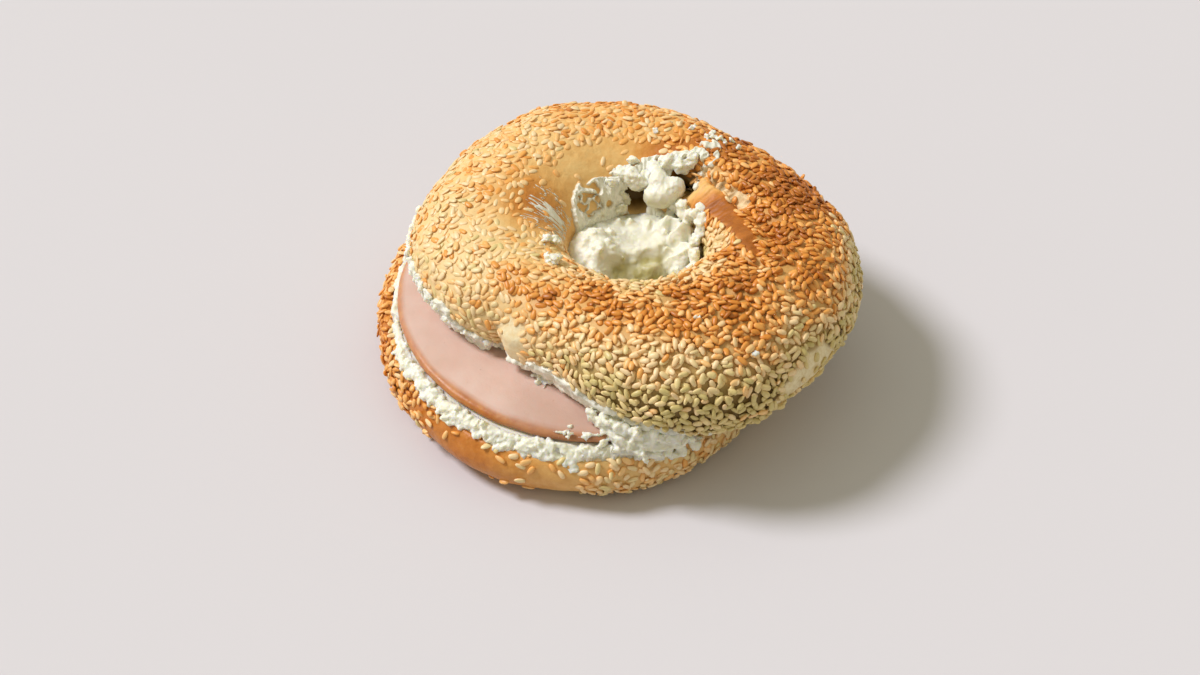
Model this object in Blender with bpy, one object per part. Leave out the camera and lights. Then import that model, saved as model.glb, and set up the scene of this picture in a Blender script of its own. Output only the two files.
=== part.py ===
"""A koulouri sandwich: a sesame ring loaf cut in two, with cream cheese and a slice of cooked ham between.

Metres, +Z up. The origin is the middle of the sandwich's outline, on the surface that it stands on.
The front, -Y, is where the filling shows. The upper half has slipped back and to the right, +X.
Sizes are in millimetres until a mesh is made, and are named at the top. Directions round a ring are in
degrees: 0 is +X and 90 is +Y, the back.
"""

import math
import random

import bpy
from mathutils import Matrix, Vector, noise

MM = 0.001
GAP = 0.35  # left between neighbours, which touch in the real thing
TILT = -0.028  # rise for each mm to the right of all that lies on the lower half

# Lower half of the loaf: a ring with a flat base and a cut top. Radii are from its own middle.
LOWER_MIDDLE = Vector((-8.8, -2.4, 0.0))
LOWER_OUTER = 57.6
LOWER_HOLE = 12.5
LOWER_WAIST = 9.0  # height of its widest line
LOWER_BULGE = 12.5  # from there to where its section would end if it weren't cut flat
LOWER_BASE_TURN, LOWER_RIM_TURN = 46.2, 30.6  # degrees from there, round the section, to base and cut
CUT_HEIGHT = 14.5  # of its cut face, at x = 0
CUT_SLOPE = -0.012

# Upper half: a deeper ring that keeps the loaf's widest line. Its heights are from its own cut face.
UPPER_MIDDLE = Vector((6.3, 2.9, 22.2))
UPPER_OUTER = 58.3
UPPER_HOLE = 18.4
UPPER_WAIST = 8.0
UPPER_CREST = 23.8
UPPER_BELLY = 14.0  # from the widest line down to where its section would end if it weren't cut flat
UPPER_RIM_TURN = 34.95  # degrees from the widest line, round the section, to the cut face
LIFTED_EDGE = (228.0, 34.0, 1.5)  # where the cut ran high: direction, spread, rise
LIFT_FROM, LIFT_TO = 30.0, 52.0  # radii over which that rise grows
NOTCH = (220.5, 4.0, 2.2)  # a fold in its side: direction, spread, depth
NOTCH_HEIGHT = 14.0

# Lobes of hand-shaped rings: (how many round the ring, size, direction of the first)
LOWER_OUTLINE = ((2, 2.4, 90.0),)
UPPER_OUTLINE = ((2, 5.5, -44.4), (3, 1.7, 57.0), (4, 2.1, 7.6), (5, 0.7, -15.1))
UPPER_CRESTS = ((1, 0.9, 6.0), (2, 1.6, -47.0))
# Single bumps and dips: (direction, spread, size)
LOWER_BUMPS = ((142.0, 32.0, 4.0), (312.0, 26.0, -0.9))
HOLE_BUMPS = ((182.0, 38.0, 1.1), (60.0, 30.0, 0.6))

# The end of the dough rope, lapped over the ring beside the hole: two points of the upper half's plan
LAP_START, LAP_END = Vector((16.5, 13.5)), Vector((29.0, -14.5))
LAP_HEIGHT, LAP_HALF_WIDTH = 2.2, 4.6
LAP_DITCH = 1.5  # depth of the furrow along its outer side

# Slow unevenness of the dough
SWELL = 0.9
SWELL_WAVE = 17.0
LOWER_SWELL_SHIFT = 60.0  # so that the halves don't swell alike

# Ham slice
HAM_MIDDLE = Vector((-7.4, -1.8, 0.0))
HAM_HALF_WIDTH, HAM_HALF_DEPTH = 52.3, 55.2
HAM_THICKNESS = 3.0
HAM_BASE = 17.3  # height of its underside, at x = 0

# Cream cheese: a layer under the ham, and one over it that fills the hole of the upper half
LOWER_CREAM_INSET = 1.2  # from the edge of the bread under it
LOWER_CREAM_SAG = 1.6  # into the lower half's hole
LOWER_CREAM_SPILLS = ((292.0, 16.0, 2.4), (196.0, 12.0, 1.0), (238.0, 14.0, 0.8))
UPPER_CREAM_INSET = 0.9  # from the edge of the bread over it
UPPER_CREAM_ON_HAM = 1.2  # from the ham's rim, where the bread reaches further out
UPPER_CREAM_SPILL = (283.0, 13.0, 4.6)  # where it has been squeezed out past the ham
SPILL_DROOP = 2.2
MOUND_HEIGHT = 10.5  # over the upper half's cut face
MOUND_SHOULDER = 2.6  # how much lower it is at its rim
MOUND_CLEARANCE = 0.9  # from the wall of the hole at its narrowest
# Lumps and hollows of the mound: (its place from the middle of the hole, radius, rise)
MOUND_LUMPS = (
    ((-10.0, -1.0), 7.0, 2.4),
    ((0.0, -9.0), 7.0, -1.6),
    ((10.0, -3.0), 5.0, 1.4),
    ((0.5, 12.5), 4.5, -3.6),
    ((8.0, 14.0), 4.2, 4.2),
    ((14.0, 8.5), 3.6, -3.4),
)

# Sesame
SEED_LENGTH, SEED_WIDTH, SEED_THICKNESS = 3.5, 2.2, 1.5
SEED_SUNK = 0.36  # share of its thickness that is pressed into the crust
UPPER_SEEDS, UPPER_SPACING = 108, 6.6
LOWER_SEEDS, LOWER_SPACING = 42, 6.0
TRIES_PER_SEED = 60
UPPER_SEED_TURNS = (-24.0, 196.0)  # the stretch of each section that carries seeds
LOWER_SEED_TURNS = (-30.0, 17.0)

UPPER_STEPS, LOWER_STEPS, LAYER_STEPS = 90, 60, 60


def smooth_step(value):
    value = min(1.0, max(0.0, value))
    return value * value * (3.0 - 2.0 * value)


def degrees_off(angle, direction):
    """How far this angle, in radians, is from a direction in degrees, as degrees from -180 to 180."""
    return (math.degrees(angle) - direction + 180.0) % 360.0 - 180.0


def bumps(angle, *terms):
    return sum(size * math.exp(-((degrees_off(angle, way) / spread) ** 2)) for way, spread, size in terms)


def lobes(angle, terms):
    return sum(size * math.cos(count * (angle - math.radians(way))) for count, size, way in terms)


def swell(x, y, z):
    return SWELL * noise.noise(Vector((x, y, z)) / SWELL_WAVE)


def cut_face(x):
    """Height of the lower half's cut face at this x of the whole sandwich."""
    return CUT_HEIGHT + CUT_SLOPE * x


def ham_base(x):
    return HAM_BASE + TILT * x


def upper_face(x):
    """Height of the upper half's cut face, without its lifted edge, at this x of the whole sandwich."""
    return UPPER_MIDDLE.z + TILT * (x - UPPER_MIDDLE.x)


def lower_outer(angle):
    return LOWER_OUTER + lobes(angle, LOWER_OUTLINE) + bumps(angle, *LOWER_BUMPS)


def lower_point(angle, turn):
    """A point of the lower half's skin, from its middle. turn is 0 at the outside and 90 degrees on top."""
    half = (lower_outer(angle) - LOWER_HOLE) / 2.0
    along = LOWER_HOLE + half + half * math.cos(turn)
    z = LOWER_WAIST + LOWER_BULGE * math.sin(turn)
    x, y = along * math.cos(angle), along * math.sin(angle)
    out = 1.0 + swell(x, y, z - LOWER_SWELL_SHIFT) * math.cos(turn) / along
    top = cut_face(LOWER_MIDDLE.x + x * out)
    return Vector((x * out, y * out, min(max(z, 0.0), top)))


def upper_outer(angle):
    return UPPER_OUTER + lobes(angle, UPPER_OUTLINE)


def upper_lift(angle, along):
    """How far the cut face's edge rises here."""
    return bumps(angle, LIFTED_EDGE) * smooth_step((along - LIFT_FROM) / (LIFT_TO - LIFT_FROM))


def lap_rise(x, y):
    """Rise of the crust where the end of the dough rope laps over it, and the furrow beside it."""
    way = LAP_END - LAP_START
    from_start = Vector((x, y)) - LAP_START
    share = from_start.dot(way) / way.length_squared
    off = way.cross(from_start) / way.length
    ends = smooth_step((share + 0.25) / 0.3) * smooth_step((1.25 - share) / 0.3)
    ridge = LAP_HEIGHT * math.exp(-((off / LAP_HALF_WIDTH) ** 2))
    ditch = LAP_DITCH * math.exp(-(((off - 1.7 * LAP_HALF_WIDTH) / 2.4) ** 2))
    return ends * (ridge - ditch)


def upper_point(angle, turn):
    """A point of the upper half's skin, from its middle. turn is 0 at the outside and 90 degrees on top."""
    hole = UPPER_HOLE + bumps(angle, *HOLE_BUMPS)
    half = (upper_outer(angle) - hole) / 2.0
    along = hole + half + half * math.cos(turn)
    crest = UPPER_CREST + lobes(angle, UPPER_CRESTS) - UPPER_WAIST
    rise = crest if math.sin(turn) > 0.0 else UPPER_BELLY
    z = UPPER_WAIST + rise * math.sin(turn)
    x, y = along * math.cos(angle), along * math.sin(angle)
    bump = swell(x, y, z)
    if math.sin(turn) > 0.0:
        bump += lap_rise(x, y)
    if math.cos(turn) > 0.0:
        bump -= bumps(angle, NOTCH) * smooth_step(1.0 - z / NOTCH_HEIGHT)
    out = 1.0 + bump * math.cos(turn) / along
    z = max(z + bump * math.sin(turn), upper_lift(angle, along))
    return Vector((x * out, y * out, z + TILT * x * out))


def section_turns(*stretches):
    """Turns round a section, from stretches of (first, last, steps) in degrees that follow each other."""
    turns = []
    for first, last, steps in stretches:
        turns += [math.radians(first + (last - first) * step / steps) for step in range(steps)]
    return turns


def ring_mesh(name, point_at, steps, turns):
    """A torus whose points are moved to the sections that point_at gives."""
    bpy.ops.mesh.primitive_torus_add(major_segments=steps, minor_segments=len(turns))
    ring = bpy.context.object
    ring.name = ring.data.name = name
    for vertex in ring.data.vertices:
        step, place = divmod(vertex.index, len(turns))
        vertex.co = point_at(math.tau * step / steps, turns[place]) * MM
    return ring


def slab_mesh(name, radii_at, top_at, base_at):
    """A sphere pressed into a slab.

    radii_at(angle) gives the radii of its circles from the middle out to its rim, for the top and for the
    base. top_at and base_at give a height at (angle, radius).
    """
    circles = len(radii_at(0.0)[0])
    bpy.ops.mesh.primitive_uv_sphere_add(segments=LAYER_STEPS, ring_count=2 * circles)
    slab = bpy.context.object
    slab.name = slab.data.name = name
    for vertex in slab.data.vertices:
        angle = math.atan2(vertex.co.y, vertex.co.x)
        down = round(math.acos(max(-1.0, min(1.0, vertex.co.z))) / math.pi * 2 * circles)
        if down in (0, 2 * circles):
            radius = 0.0
        elif down < circles:
            radius = radii_at(angle)[0][down - 1]
        else:
            radius = radii_at(angle)[1][2 * circles - down - 1]
        height = top_at(angle, radius) if down < circles else base_at(angle, radius)
        if down == circles:
            height = (height + top_at(angle, radius)) / 2.0
        vertex.co = Vector((radius * math.cos(angle), radius * math.sin(angle), height)) * MM
    return slab


def surface_frame(point_at, angle, turn):
    """(unit normal, unit direction round the ring) of a ring's skin."""
    here = point_at(angle, turn)
    onward = point_at(angle + 0.02, turn) - here
    over = point_at(angle, turn + 0.02) - here
    return onward.cross(over).normalized(), onward.normalized()


def scatter(point_at, wanted, spacing, bare, turns, draw):
    """Places for seeds as (point, angle, turn), spacing apart, fewer where the crust is barer of them."""
    places = []
    for _ in range(wanted * TRIES_PER_SEED):
        if len(places) == wanted:
            break
        angle = draw.uniform(0.0, math.tau)
        turn = math.radians(draw.uniform(*turns))
        point = point_at(angle, turn)
        if draw.random() > point.xy.length / UPPER_OUTER or draw.random() < bare(point, angle, turn):
            continue
        if all((point - other).length > spacing for other, _, _ in places):
            places.append((point, angle, turn))
    return places


def upper_bare(point, angle, turn):
    """How bare of seeds the upper half is here, from 0 to 1."""
    glossy = 1.25 * bumps(angle, (138.0, 48.0, 1.0)) * smooth_step((48.0 - point.xy.length) / 10.0)
    lap = smooth_step((lap_rise(point.x, point.y) - 0.6) / 0.5)
    inside = smooth_step((UPPER_HOLE + 3.5 - point.xy.length) / 2.0)
    low_side = bumps(angle, (326.0, 13.0, 1.0)) * smooth_step((7.0 - point.z) / 3.0)
    lobe = bumps(angle, (227.0, 6.0, 1.0)) * smooth_step((15.0 - point.z) / 4.0)
    return max(glossy, lap, inside, low_side, lobe)


def lower_bare(point, angle, turn):
    """How bare of seeds the lower half is here, from 0 to 1: its front is bare below a sparse band."""
    front = smooth_step(1.3 - abs(degrees_off(angle, 250.0)) / 30.0)
    return max(0.25 * front, front * smooth_step((9.0 - point.z) / 5.0))


def fuse_seeds(ring, point_at, places, draw):
    """Joins a sesame seed at each place to the ring, by one Boolean union that is applied."""
    bpy.ops.mesh.primitive_ico_sphere_add(subdivisions=1, radius=0.5)
    pattern = bpy.context.object
    seeds = bpy.data.collections.new(ring.name + "_seeds")
    bpy.context.scene.collection.children.link(seeds)
    for index, (point, angle, turn) in enumerate(places):
        normal, onward = surface_frame(point_at, angle, turn)
        heading = draw.uniform(0.0, math.tau)
        long_way = onward * math.cos(heading) + normal.cross(onward) * math.sin(heading)
        middle = point + normal * SEED_THICKNESS * (0.5 - SEED_SUNK)
        columns = (long_way * SEED_LENGTH, normal.cross(long_way) * SEED_WIDTH, normal * SEED_THICKNESS)
        shape = Matrix([list(column) for column in columns]).transposed().to_4x4()
        seed = bpy.data.objects.new(f"seed_{index}", pattern.data)
        seed.matrix_world = Matrix.Scale(MM, 4) @ Matrix.Translation(middle) @ shape
        seed.hide_render = True
        seeds.objects.link(seed)
    bpy.data.objects.remove(pattern)
    union = ring.modifiers.new("seeds", "BOOLEAN")
    union.operation = "UNION"
    union.operand_type = "COLLECTION"
    union.collection = seeds
    union.solver = "MANIFOLD"
    joined = bpy.data.meshes.new_from_object(ring.evaluated_get(bpy.context.evaluated_depsgraph_get()))
    ring.modifiers.clear()
    ring.data = joined
    for seed in list(seeds.objects):
        bpy.data.objects.remove(seed)
    bpy.data.collections.remove(seeds)


def finish(piece, collection, middle, colour, roughness):
    """Puts a piece in its place and in the sandwich's collection, with its own material."""
    made = bpy.data.materials.new(piece.name)
    made.use_nodes = True
    shader = made.node_tree.nodes["Principled BSDF"]
    shader.inputs["Base Color"].default_value = (*colour, 1.0)
    shader.inputs["Roughness"].default_value = roughness
    shader.inputs["Metallic"].default_value = 0.0
    piece.data.materials.clear()
    piece.data.materials.append(made)
    piece.location = middle * MM
    for other in list(piece.users_collection):
        other.objects.unlink(piece)
    collection.objects.link(piece)


def build_bread_lower(collection):
    rim, base = LOWER_RIM_TURN, LOWER_BASE_TURN
    side, hole = (-base, rim, 6), (180 - rim, 180 + base, 3)
    turns = section_turns(side, (rim, 180 - rim, 2), hole, (180 + base, 360 - base, 2))
    ring = ring_mesh("bread_lower", lower_point, LOWER_STEPS, turns)
    draw = random.Random(11)
    places = scatter(lower_point, LOWER_SEEDS, LOWER_SPACING, lower_bare, LOWER_SEED_TURNS, draw)
    fuse_seeds(ring, lower_point, places, draw)
    finish(ring, collection, LOWER_MIDDLE, (0.55, 0.27, 0.09), 0.45)


def build_bread_upper(collection):
    rim = UPPER_RIM_TURN
    turns = section_turns((-rim, 180 + rim, 15), (180 + rim, 360 - rim, 2))
    ring = ring_mesh("bread_upper", upper_point, UPPER_STEPS, turns)
    draw = random.Random(5)
    places = scatter(upper_point, UPPER_SEEDS, UPPER_SPACING, upper_bare, UPPER_SEED_TURNS, draw)
    fuse_seeds(ring, upper_point, places, draw)
    finish(ring, collection, UPPER_MIDDLE, (0.70, 0.41, 0.15), 0.45)


def build_ham(collection):
    round_over = 0.9

    def radii_at(angle):
        rim = math.hypot(HAM_HALF_WIDTH * math.cos(angle), HAM_HALF_DEPTH * math.sin(angle))
        return (rim - round_over, rim), (rim - round_over, rim)

    def top_at(angle, radius):
        return base_at(angle, radius) + HAM_THICKNESS

    def base_at(angle, radius):
        return ham_base(HAM_MIDDLE.x + radius * math.cos(angle))

    ham = slab_mesh("ham_slice", radii_at, top_at, base_at)
    finish(ham, collection, HAM_MIDDLE, (0.75, 0.51, 0.40), 0.35)


def build_cream_lower(collection):
    round_over = 0.8

    def radii_at(angle):
        rim = lower_point(angle, math.radians(LOWER_RIM_TURN)).xy.length - LOWER_CREAM_INSET
        rim += bumps(angle, *LOWER_CREAM_SPILLS)
        return (8.0, 14.5, rim - round_over, rim), (8.0, 14.5, rim - round_over, rim)

    def top_at(angle, radius):
        return ham_base(LOWER_MIDDLE.x + radius * math.cos(angle)) - GAP

    def base_at(angle, radius):
        sag = LOWER_CREAM_SAG * smooth_step((LOWER_HOLE - radius) / 3.0)
        return cut_face(LOWER_MIDDLE.x + radius * math.cos(angle)) + GAP - sag

    cream = slab_mesh("cream_lower", radii_at, top_at, base_at)
    finish(cream, collection, LOWER_MIDDLE, (0.80, 0.76, 0.64), 0.55)


def ham_reach(angle):
    """Distance from the upper half's middle to the ham's rim, this way."""
    offset = UPPER_MIDDLE - HAM_MIDDLE
    start = Vector((offset.x / HAM_HALF_WIDTH, offset.y / HAM_HALF_DEPTH))
    way = Vector((math.cos(angle) / HAM_HALF_WIDTH, math.sin(angle) / HAM_HALF_DEPTH))
    slant = start.dot(way) / way.length_squared
    return math.sqrt(slant * slant + (1.0 - start.length_squared) / way.length_squared) - slant


def mound_height(x, y):
    """Height of the cream in the hole over the upper half's cut face."""
    height = MOUND_HEIGHT
    for middle, radius, rise in MOUND_LUMPS:
        height += rise * math.exp(-(((x - middle[0]) ** 2 + (y - middle[1]) ** 2) / radius**2))
    return height


def build_cream_upper(collection):
    round_over = 0.5

    def wall(angle):
        return upper_point(angle, math.pi).xy.length

    def radii_at(angle):
        under_bread = upper_point(angle, math.radians(-UPPER_RIM_TURN)).xy.length - UPPER_CREAM_INSET
        on_ham = ham_reach(angle) - UPPER_CREAM_ON_HAM
        rim = min(under_bread, on_ham) + bumps(angle, UPPER_CREAM_SPILL)
        outer = (rim - 3.4, rim - 1.6, rim - round_over, rim)
        top = (5.5, 11.0, wall(angle) - 2.1, wall(angle) - MOUND_CLEARANCE, wall(angle), LIFT_FROM) + outer
        return top, (5.5, 11.0, 16.0, 20.0, 25.0, LIFT_FROM) + outer

    def top_at(angle, radius):
        x, y = radius * math.cos(angle), radius * math.sin(angle)
        face = upper_face(UPPER_MIDDLE.x + x) - UPPER_MIDDLE.z
        if radius > wall(angle) - 0.01:
            return face + upper_lift(angle, radius) - GAP
        return face + mound_height(x, y) - MOUND_SHOULDER * smooth_step((radius - wall(angle) + 2.1) / 1.5)

    def base_at(angle, radius):
        over_ham = ham_base(UPPER_MIDDLE.x + radius * math.cos(angle)) + HAM_THICKNESS + GAP
        past_ham = radius - ham_reach(angle) - 0.8
        return over_ham - SPILL_DROOP * smooth_step(past_ham / 2.5) - UPPER_MIDDLE.z

    cream = slab_mesh("cream_upper", radii_at, top_at, base_at)
    finish(cream, collection, UPPER_MIDDLE, (0.80, 0.76, 0.64), 0.55)


def main():
    for old in list(bpy.data.objects):
        bpy.data.objects.remove(old)
    sandwich = bpy.data.collections.new("koulouri_sandwich")
    bpy.context.scene.collection.children.link(sandwich)
    build_bread_lower(sandwich)
    build_cream_lower(sandwich)
    build_ham(sandwich)
    build_cream_upper(sandwich)
    build_bread_upper(sandwich)


main()
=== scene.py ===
"""The looks of a koulouri sandwich: a sesame ring loaf cut in two, with cream cheese and ham between.

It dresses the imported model, in metres and +Z up. Sizes are in millimetres until a mesh is made. Directions
round a ring are in degrees: 0 is +X and 90 is +Y, the back. Turns go round a ring's section: 0 is its
outside and 90 degrees its top. The solids' own sizes and forms are repeated here, and fine surfaces are
laid on them. In the sums, fade(reach - here, width) is 1 well within a reach and 0 outside it.
"""

import math

import bmesh
import bpy
import numpy as np
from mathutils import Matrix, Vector, noise


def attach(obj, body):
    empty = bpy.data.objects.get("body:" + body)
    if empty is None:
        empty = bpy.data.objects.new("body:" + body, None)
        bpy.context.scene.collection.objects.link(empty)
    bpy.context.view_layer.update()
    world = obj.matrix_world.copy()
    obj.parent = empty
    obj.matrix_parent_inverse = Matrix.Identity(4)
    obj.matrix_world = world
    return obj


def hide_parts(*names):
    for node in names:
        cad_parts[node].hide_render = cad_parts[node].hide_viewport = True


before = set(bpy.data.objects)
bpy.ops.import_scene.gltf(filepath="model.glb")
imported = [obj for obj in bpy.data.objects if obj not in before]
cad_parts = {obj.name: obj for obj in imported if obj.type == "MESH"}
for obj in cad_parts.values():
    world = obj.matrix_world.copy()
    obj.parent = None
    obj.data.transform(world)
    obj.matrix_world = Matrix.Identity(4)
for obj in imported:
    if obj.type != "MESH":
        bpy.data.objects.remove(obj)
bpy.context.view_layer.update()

MM = 0.001
TILT = -0.028  # rise for each mm to the right of all that lies on the lower half
RANDOM_START = 7

# Lower half of the loaf, as in the solid
LOWER_MIDDLE = np.array((-8.8, -2.4, 0.0))
LOWER_OUTER = 57.6
LOWER_HOLE = 12.5
LOWER_WAIST = 9.0
LOWER_BULGE = 12.5
LOWER_BASE_TURN, LOWER_RIM_TURN = 46.2, 30.6
CUT_HEIGHT = 14.5
CUT_SLOPE = -0.012
LOWER_OUTLINE = ((2, 2.4, 90.0),)
LOWER_BUMPS = ((142.0, 32.0, 4.0), (312.0, 26.0, -0.9))
LOWER_SWELL_SHIFT = 60.0

# Upper half, as in the solid
UPPER_MIDDLE = np.array((6.3, 2.9, 22.2))
UPPER_OUTER = 58.3
UPPER_HOLE = 18.4
UPPER_WAIST = 8.0  # height of the widest place
UPPER_CREST = 23.8
UPPER_BELLY = 14.0
UPPER_RIM_TURN = 34.95
LIFTED_EDGE = (228.0, 34.0, 1.5)
LIFT_FROM, LIFT_TO = 30.0, 52.0
NOTCH = (220.5, 4.0, 2.2)
NOTCH_HEIGHT = 14.0
UPPER_OUTLINE = ((2, 5.5, -44.4), (3, 1.7, 57.0), (4, 2.1, 7.6), (5, 0.7, -15.1))
UPPER_CRESTS = ((1, 0.9, 6.0), (2, 1.6, -47.0))
HOLE_BUMPS = ((182.0, 38.0, 1.1), (60.0, 30.0, 0.6))
LAP_START, LAP_END = np.array((16.5, 13.5)), np.array((29.0, -14.5))
LAP_HEIGHT, LAP_HALF_WIDTH = 2.2, 4.6
LAP_DITCH = 1.5
SWELL = 0.9
SWELL_WAVE = 17.0

# Ham and cream cheese, as in the solids
HAM_MIDDLE = np.array((-7.4, -1.8, 0.0))
HAM_HALF_WIDTH, HAM_HALF_DEPTH = 52.3, 55.2
HAM_THICKNESS = 3.0
HAM_BASE = 17.3
LOWER_CREAM_INSET = 1.2
LOWER_CREAM_SPILLS = ((292.0, 16.0, 2.4), (196.0, 12.0, 1.0), (238.0, 14.0, 0.8))
UPPER_CREAM_INSET = 0.9
UPPER_CREAM_SPILL = (283.0, 13.0, 4.6)

# Fine relief of the crusts. Grids are (points round the ring, steps of its section)
UPPER_ROWS, UPPER_STEPS = 470, (150, 12)
LOWER_ROWS, LOWER_STEPS = 400, (40, 12, 16, 12)
SKIN_WAVES = ((6.5, 0.34), (2.4, 0.13))  # (distance between rises, their height)
CREASES = (  # folds of the dough on top, over the plan of the upper half: (points, depth, half width)
    (((28.7, -13.5), (36.8, -10.4), (44.7, -11.3)), 0.9, 1.2),
    (((31.5, -2.6), (39.0, -3.6), (48.0, -2.4)), 0.7, 1.1),
    (((3.0, -36.5), (13.0, -36.4), (21.8, -34.6), (31.0, -36.6)), 0.8, 1.3),
    (((30.0, -15.0), (30.5, -24.0), (28.5, -33.0)), 0.6, 1.0),
)
LAP_CREST = (  # line of the rope's smooth end, from the hole outwards
    (15.5, 16.0), (19.9, 10.9), (22.9, 5.7), (25.0, -0.4), (26.9, -8.3), (28.4, -14.5), (29.3, -17.5),
)
LAP_SMOOTH = (4.5, 2.9)  # half width of that end where it starts and where it runs out
LAP_FOOT = 12.0  # height from which it shows
HOLLOWS = (  # gaps behind the cream: (place over the tilted cut face, radius, depth)
    ((-0.5, 20.0, 11.9), 4.3, 4.8),
    ((12.4, 20.4, 18.2), 4.4, 5.2),
)
TORN_LINE = ((16.4, 20.6), (18.8, 17.8), (22.6, 13.8), (26.2, 11.4), (27.0, 8.0))  # torn crust by the hole
TORN_HALF_WIDTH, TORN_ROUGHNESS = 3.2, 1.5
LOBE_WAY, SPLIT_WAY = 226.5, 220.8  # directions of the pale lobe at the front and of the split beside it
BARE_SIDE = (  # height of the seedless crust at the right of the front: (direction, height)
    (295.0, -2.0), (299.0, 4.5), (303.0, 10.0), (309.0, 14.2), (314.0, 15.8), (319.0, 15.0), (324.0, 11.5),
    (328.0, 4.5), (333.0, -2.0),
)
BARE_PATCHES = (((3.8, -50.0), 2.4, 1.2), ((37.5, -25.0), 2.2, 1.1), ((-21.0, -22.0), 3.0, 0.8))

# Where the upper crust is toasted: (place from the middle of the upper half, radius, strength)
TOASTED = (
    ((40.0, 13.0), 13.0, 0.90), ((46.5, 8.0), 7.0, 0.50), ((38.0, -8.0), 12.0, 0.68),
    ((42.0, -24.0), 10.0, 0.50), ((25.0, -30.0), 8.0, 0.58), ((25.0, -43.0), 8.0, 0.58),
    ((11.0, -33.5), 5.5, 0.68), ((9.0, -44.5), 7.0, 0.52), ((-5.0, -41.5), 6.5, 0.58),
    ((-11.0, -34.0), 5.0, 0.54), ((-17.0, -36.0), 6.0, 0.16), ((-25.0, -31.5), 4.5, 0.64),
    ((-33.0, -24.0), 4.0, 0.46), ((-30.0, -28.0), 8.0, 0.10), ((24.5, 30.5), 9.0, 0.76),
    ((-8.0, 46.0), 24.0, 0.24), ((-38.0, 12.0), 12.0, 0.13), ((17.0, 4.5), 3.2, 0.60),
    ((24.0, -17.0), 4.0, 0.58), ((21.5, -8.5), 4.5, -0.12),
)
BROWNER = (((7.0, 28.5), 7.0, 0.42), ((16.0, 27.5), 7.0, 0.38), ((-29.0, 5.0), 9.5, 0.44))  # only the crust
PLAIN_TOAST = 0.27  # how toasted the rest of the top is
SHADED_SIDE_TOAST = 0.06  # and the sides at the front and right, near the cut; so low that the ramps darken them, which is painted shade

# Sesame
SEED_LENGTH, SEED_WIDTH, SEED_THICKNESS = 2.92, 1.58, 0.95
SEED_APART = 1.12  # between the middles of the discs that stand for seeds while they are placed
SEED_DISCS = (-0.8, 0.0, 0.8)  # places of those discs along a seed
UPPER_SEEDS, LOWER_SEEDS = (4000, 1250), (980, 330)  # most that each layer may hold
SEED_LIFTS = (0.12, 0.70)  # how high each layer lies
HIGHEST_SEED = 49.6  # seeds that would reach above this are left out
TRIES_PER_SEED = 36  # places drawn for each seed, of which those that cross others are dropped

# Ham
HAM_ROWS = 240
HAM_EDGE = 1.5  # how far its soft edge reaches in
HAM_RINGS = (0.985, 0.965, 0.94, 0.90, 0.85, 0.8, 0.7, 0.6, 0.45, 0.3, 0.12)  # shares of the way to it

# Heap of cream in the hole
MOUND_ROWS, MOUND_COLUMNS = 220, 64
MOUND_LEDGE = (0.2, 0.40)  # y of the ledge at the middle, and its rise for each mm to the right
MOUND_LEVEL = 8.3  # height behind the ledge
MOUND_DROP, MOUND_FALL = 1.9, 0.50  # fall over the ledge, and for each mm in front of it
MOUND_DETAIL = (  # lumps and hollows: (place, radius, rise)
    ((-12.6, 3.4), 5.4, 4.0), ((-9.4, -2.2), 3.4, 2.4), ((-13.0, -7.0), 2.6, 3.0),
    ((-8.6, -8.4), 1.6, 1.8), ((-5.4, 13.4), 1.0, 2.0), ((-1.6, 13.6), 1.0, 2.4), ((2.6, 12.6), 1.3, 1.8),
    ((-1.5, 6.0), 4.5, -1.2), ((3.6, -2.8), 2.5, 3.0), ((7.0, -3.4), 1.2, -7.5), ((10.6, -8.0), 2.8, 4.0),
    ((12.4, -1.0), 4.2, 4.0), ((15.6, 3.0), 3.4, 4.6), ((12.6, 8.4), 3.6, 4.2), ((8.0, 12.0), 2.6, 2.4),
    ((13.0, 5.2), 1.1, -4.0), ((9.0, 9.4), 1.0, -4.0), ((-17.0, -9.0), 1.4, -3.0),
)
HEAP_LUMPS = (  # torn cream on the wall at its right: (place over the tilted cut face, radii)
    ((9.6, 15.0, 10.2), (2.6, 2.2, 2.2)), ((12.0, 13.8, 12.2), (2.6, 2.2, 2.6)),
    ((13.6, 11.8, 13.2), (2.4, 2.2, 2.6)), ((14.8, 9.8, 14.0), (2.3, 2.2, 2.6)),
    ((16.4, 8.2, 15.8), (2.0, 2.2, 2.0)), ((17.4, 6.4, 16.2), (1.8, 2.0, 1.8)),
    ((16.2, 5.4, 13.6), (2.0, 2.0, 2.6)), ((15.6, 2.8, 11.8), (2.2, 2.2, 2.6)),
    ((15.6, -0.2, 10.2), (2.4, 2.4, 2.2)), ((14.6, -4.4, 9.2), (2.5, 2.3, 1.9)),
    ((11.6, -9.4, 8.2), (2.7, 2.1, 1.7)),
)

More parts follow.
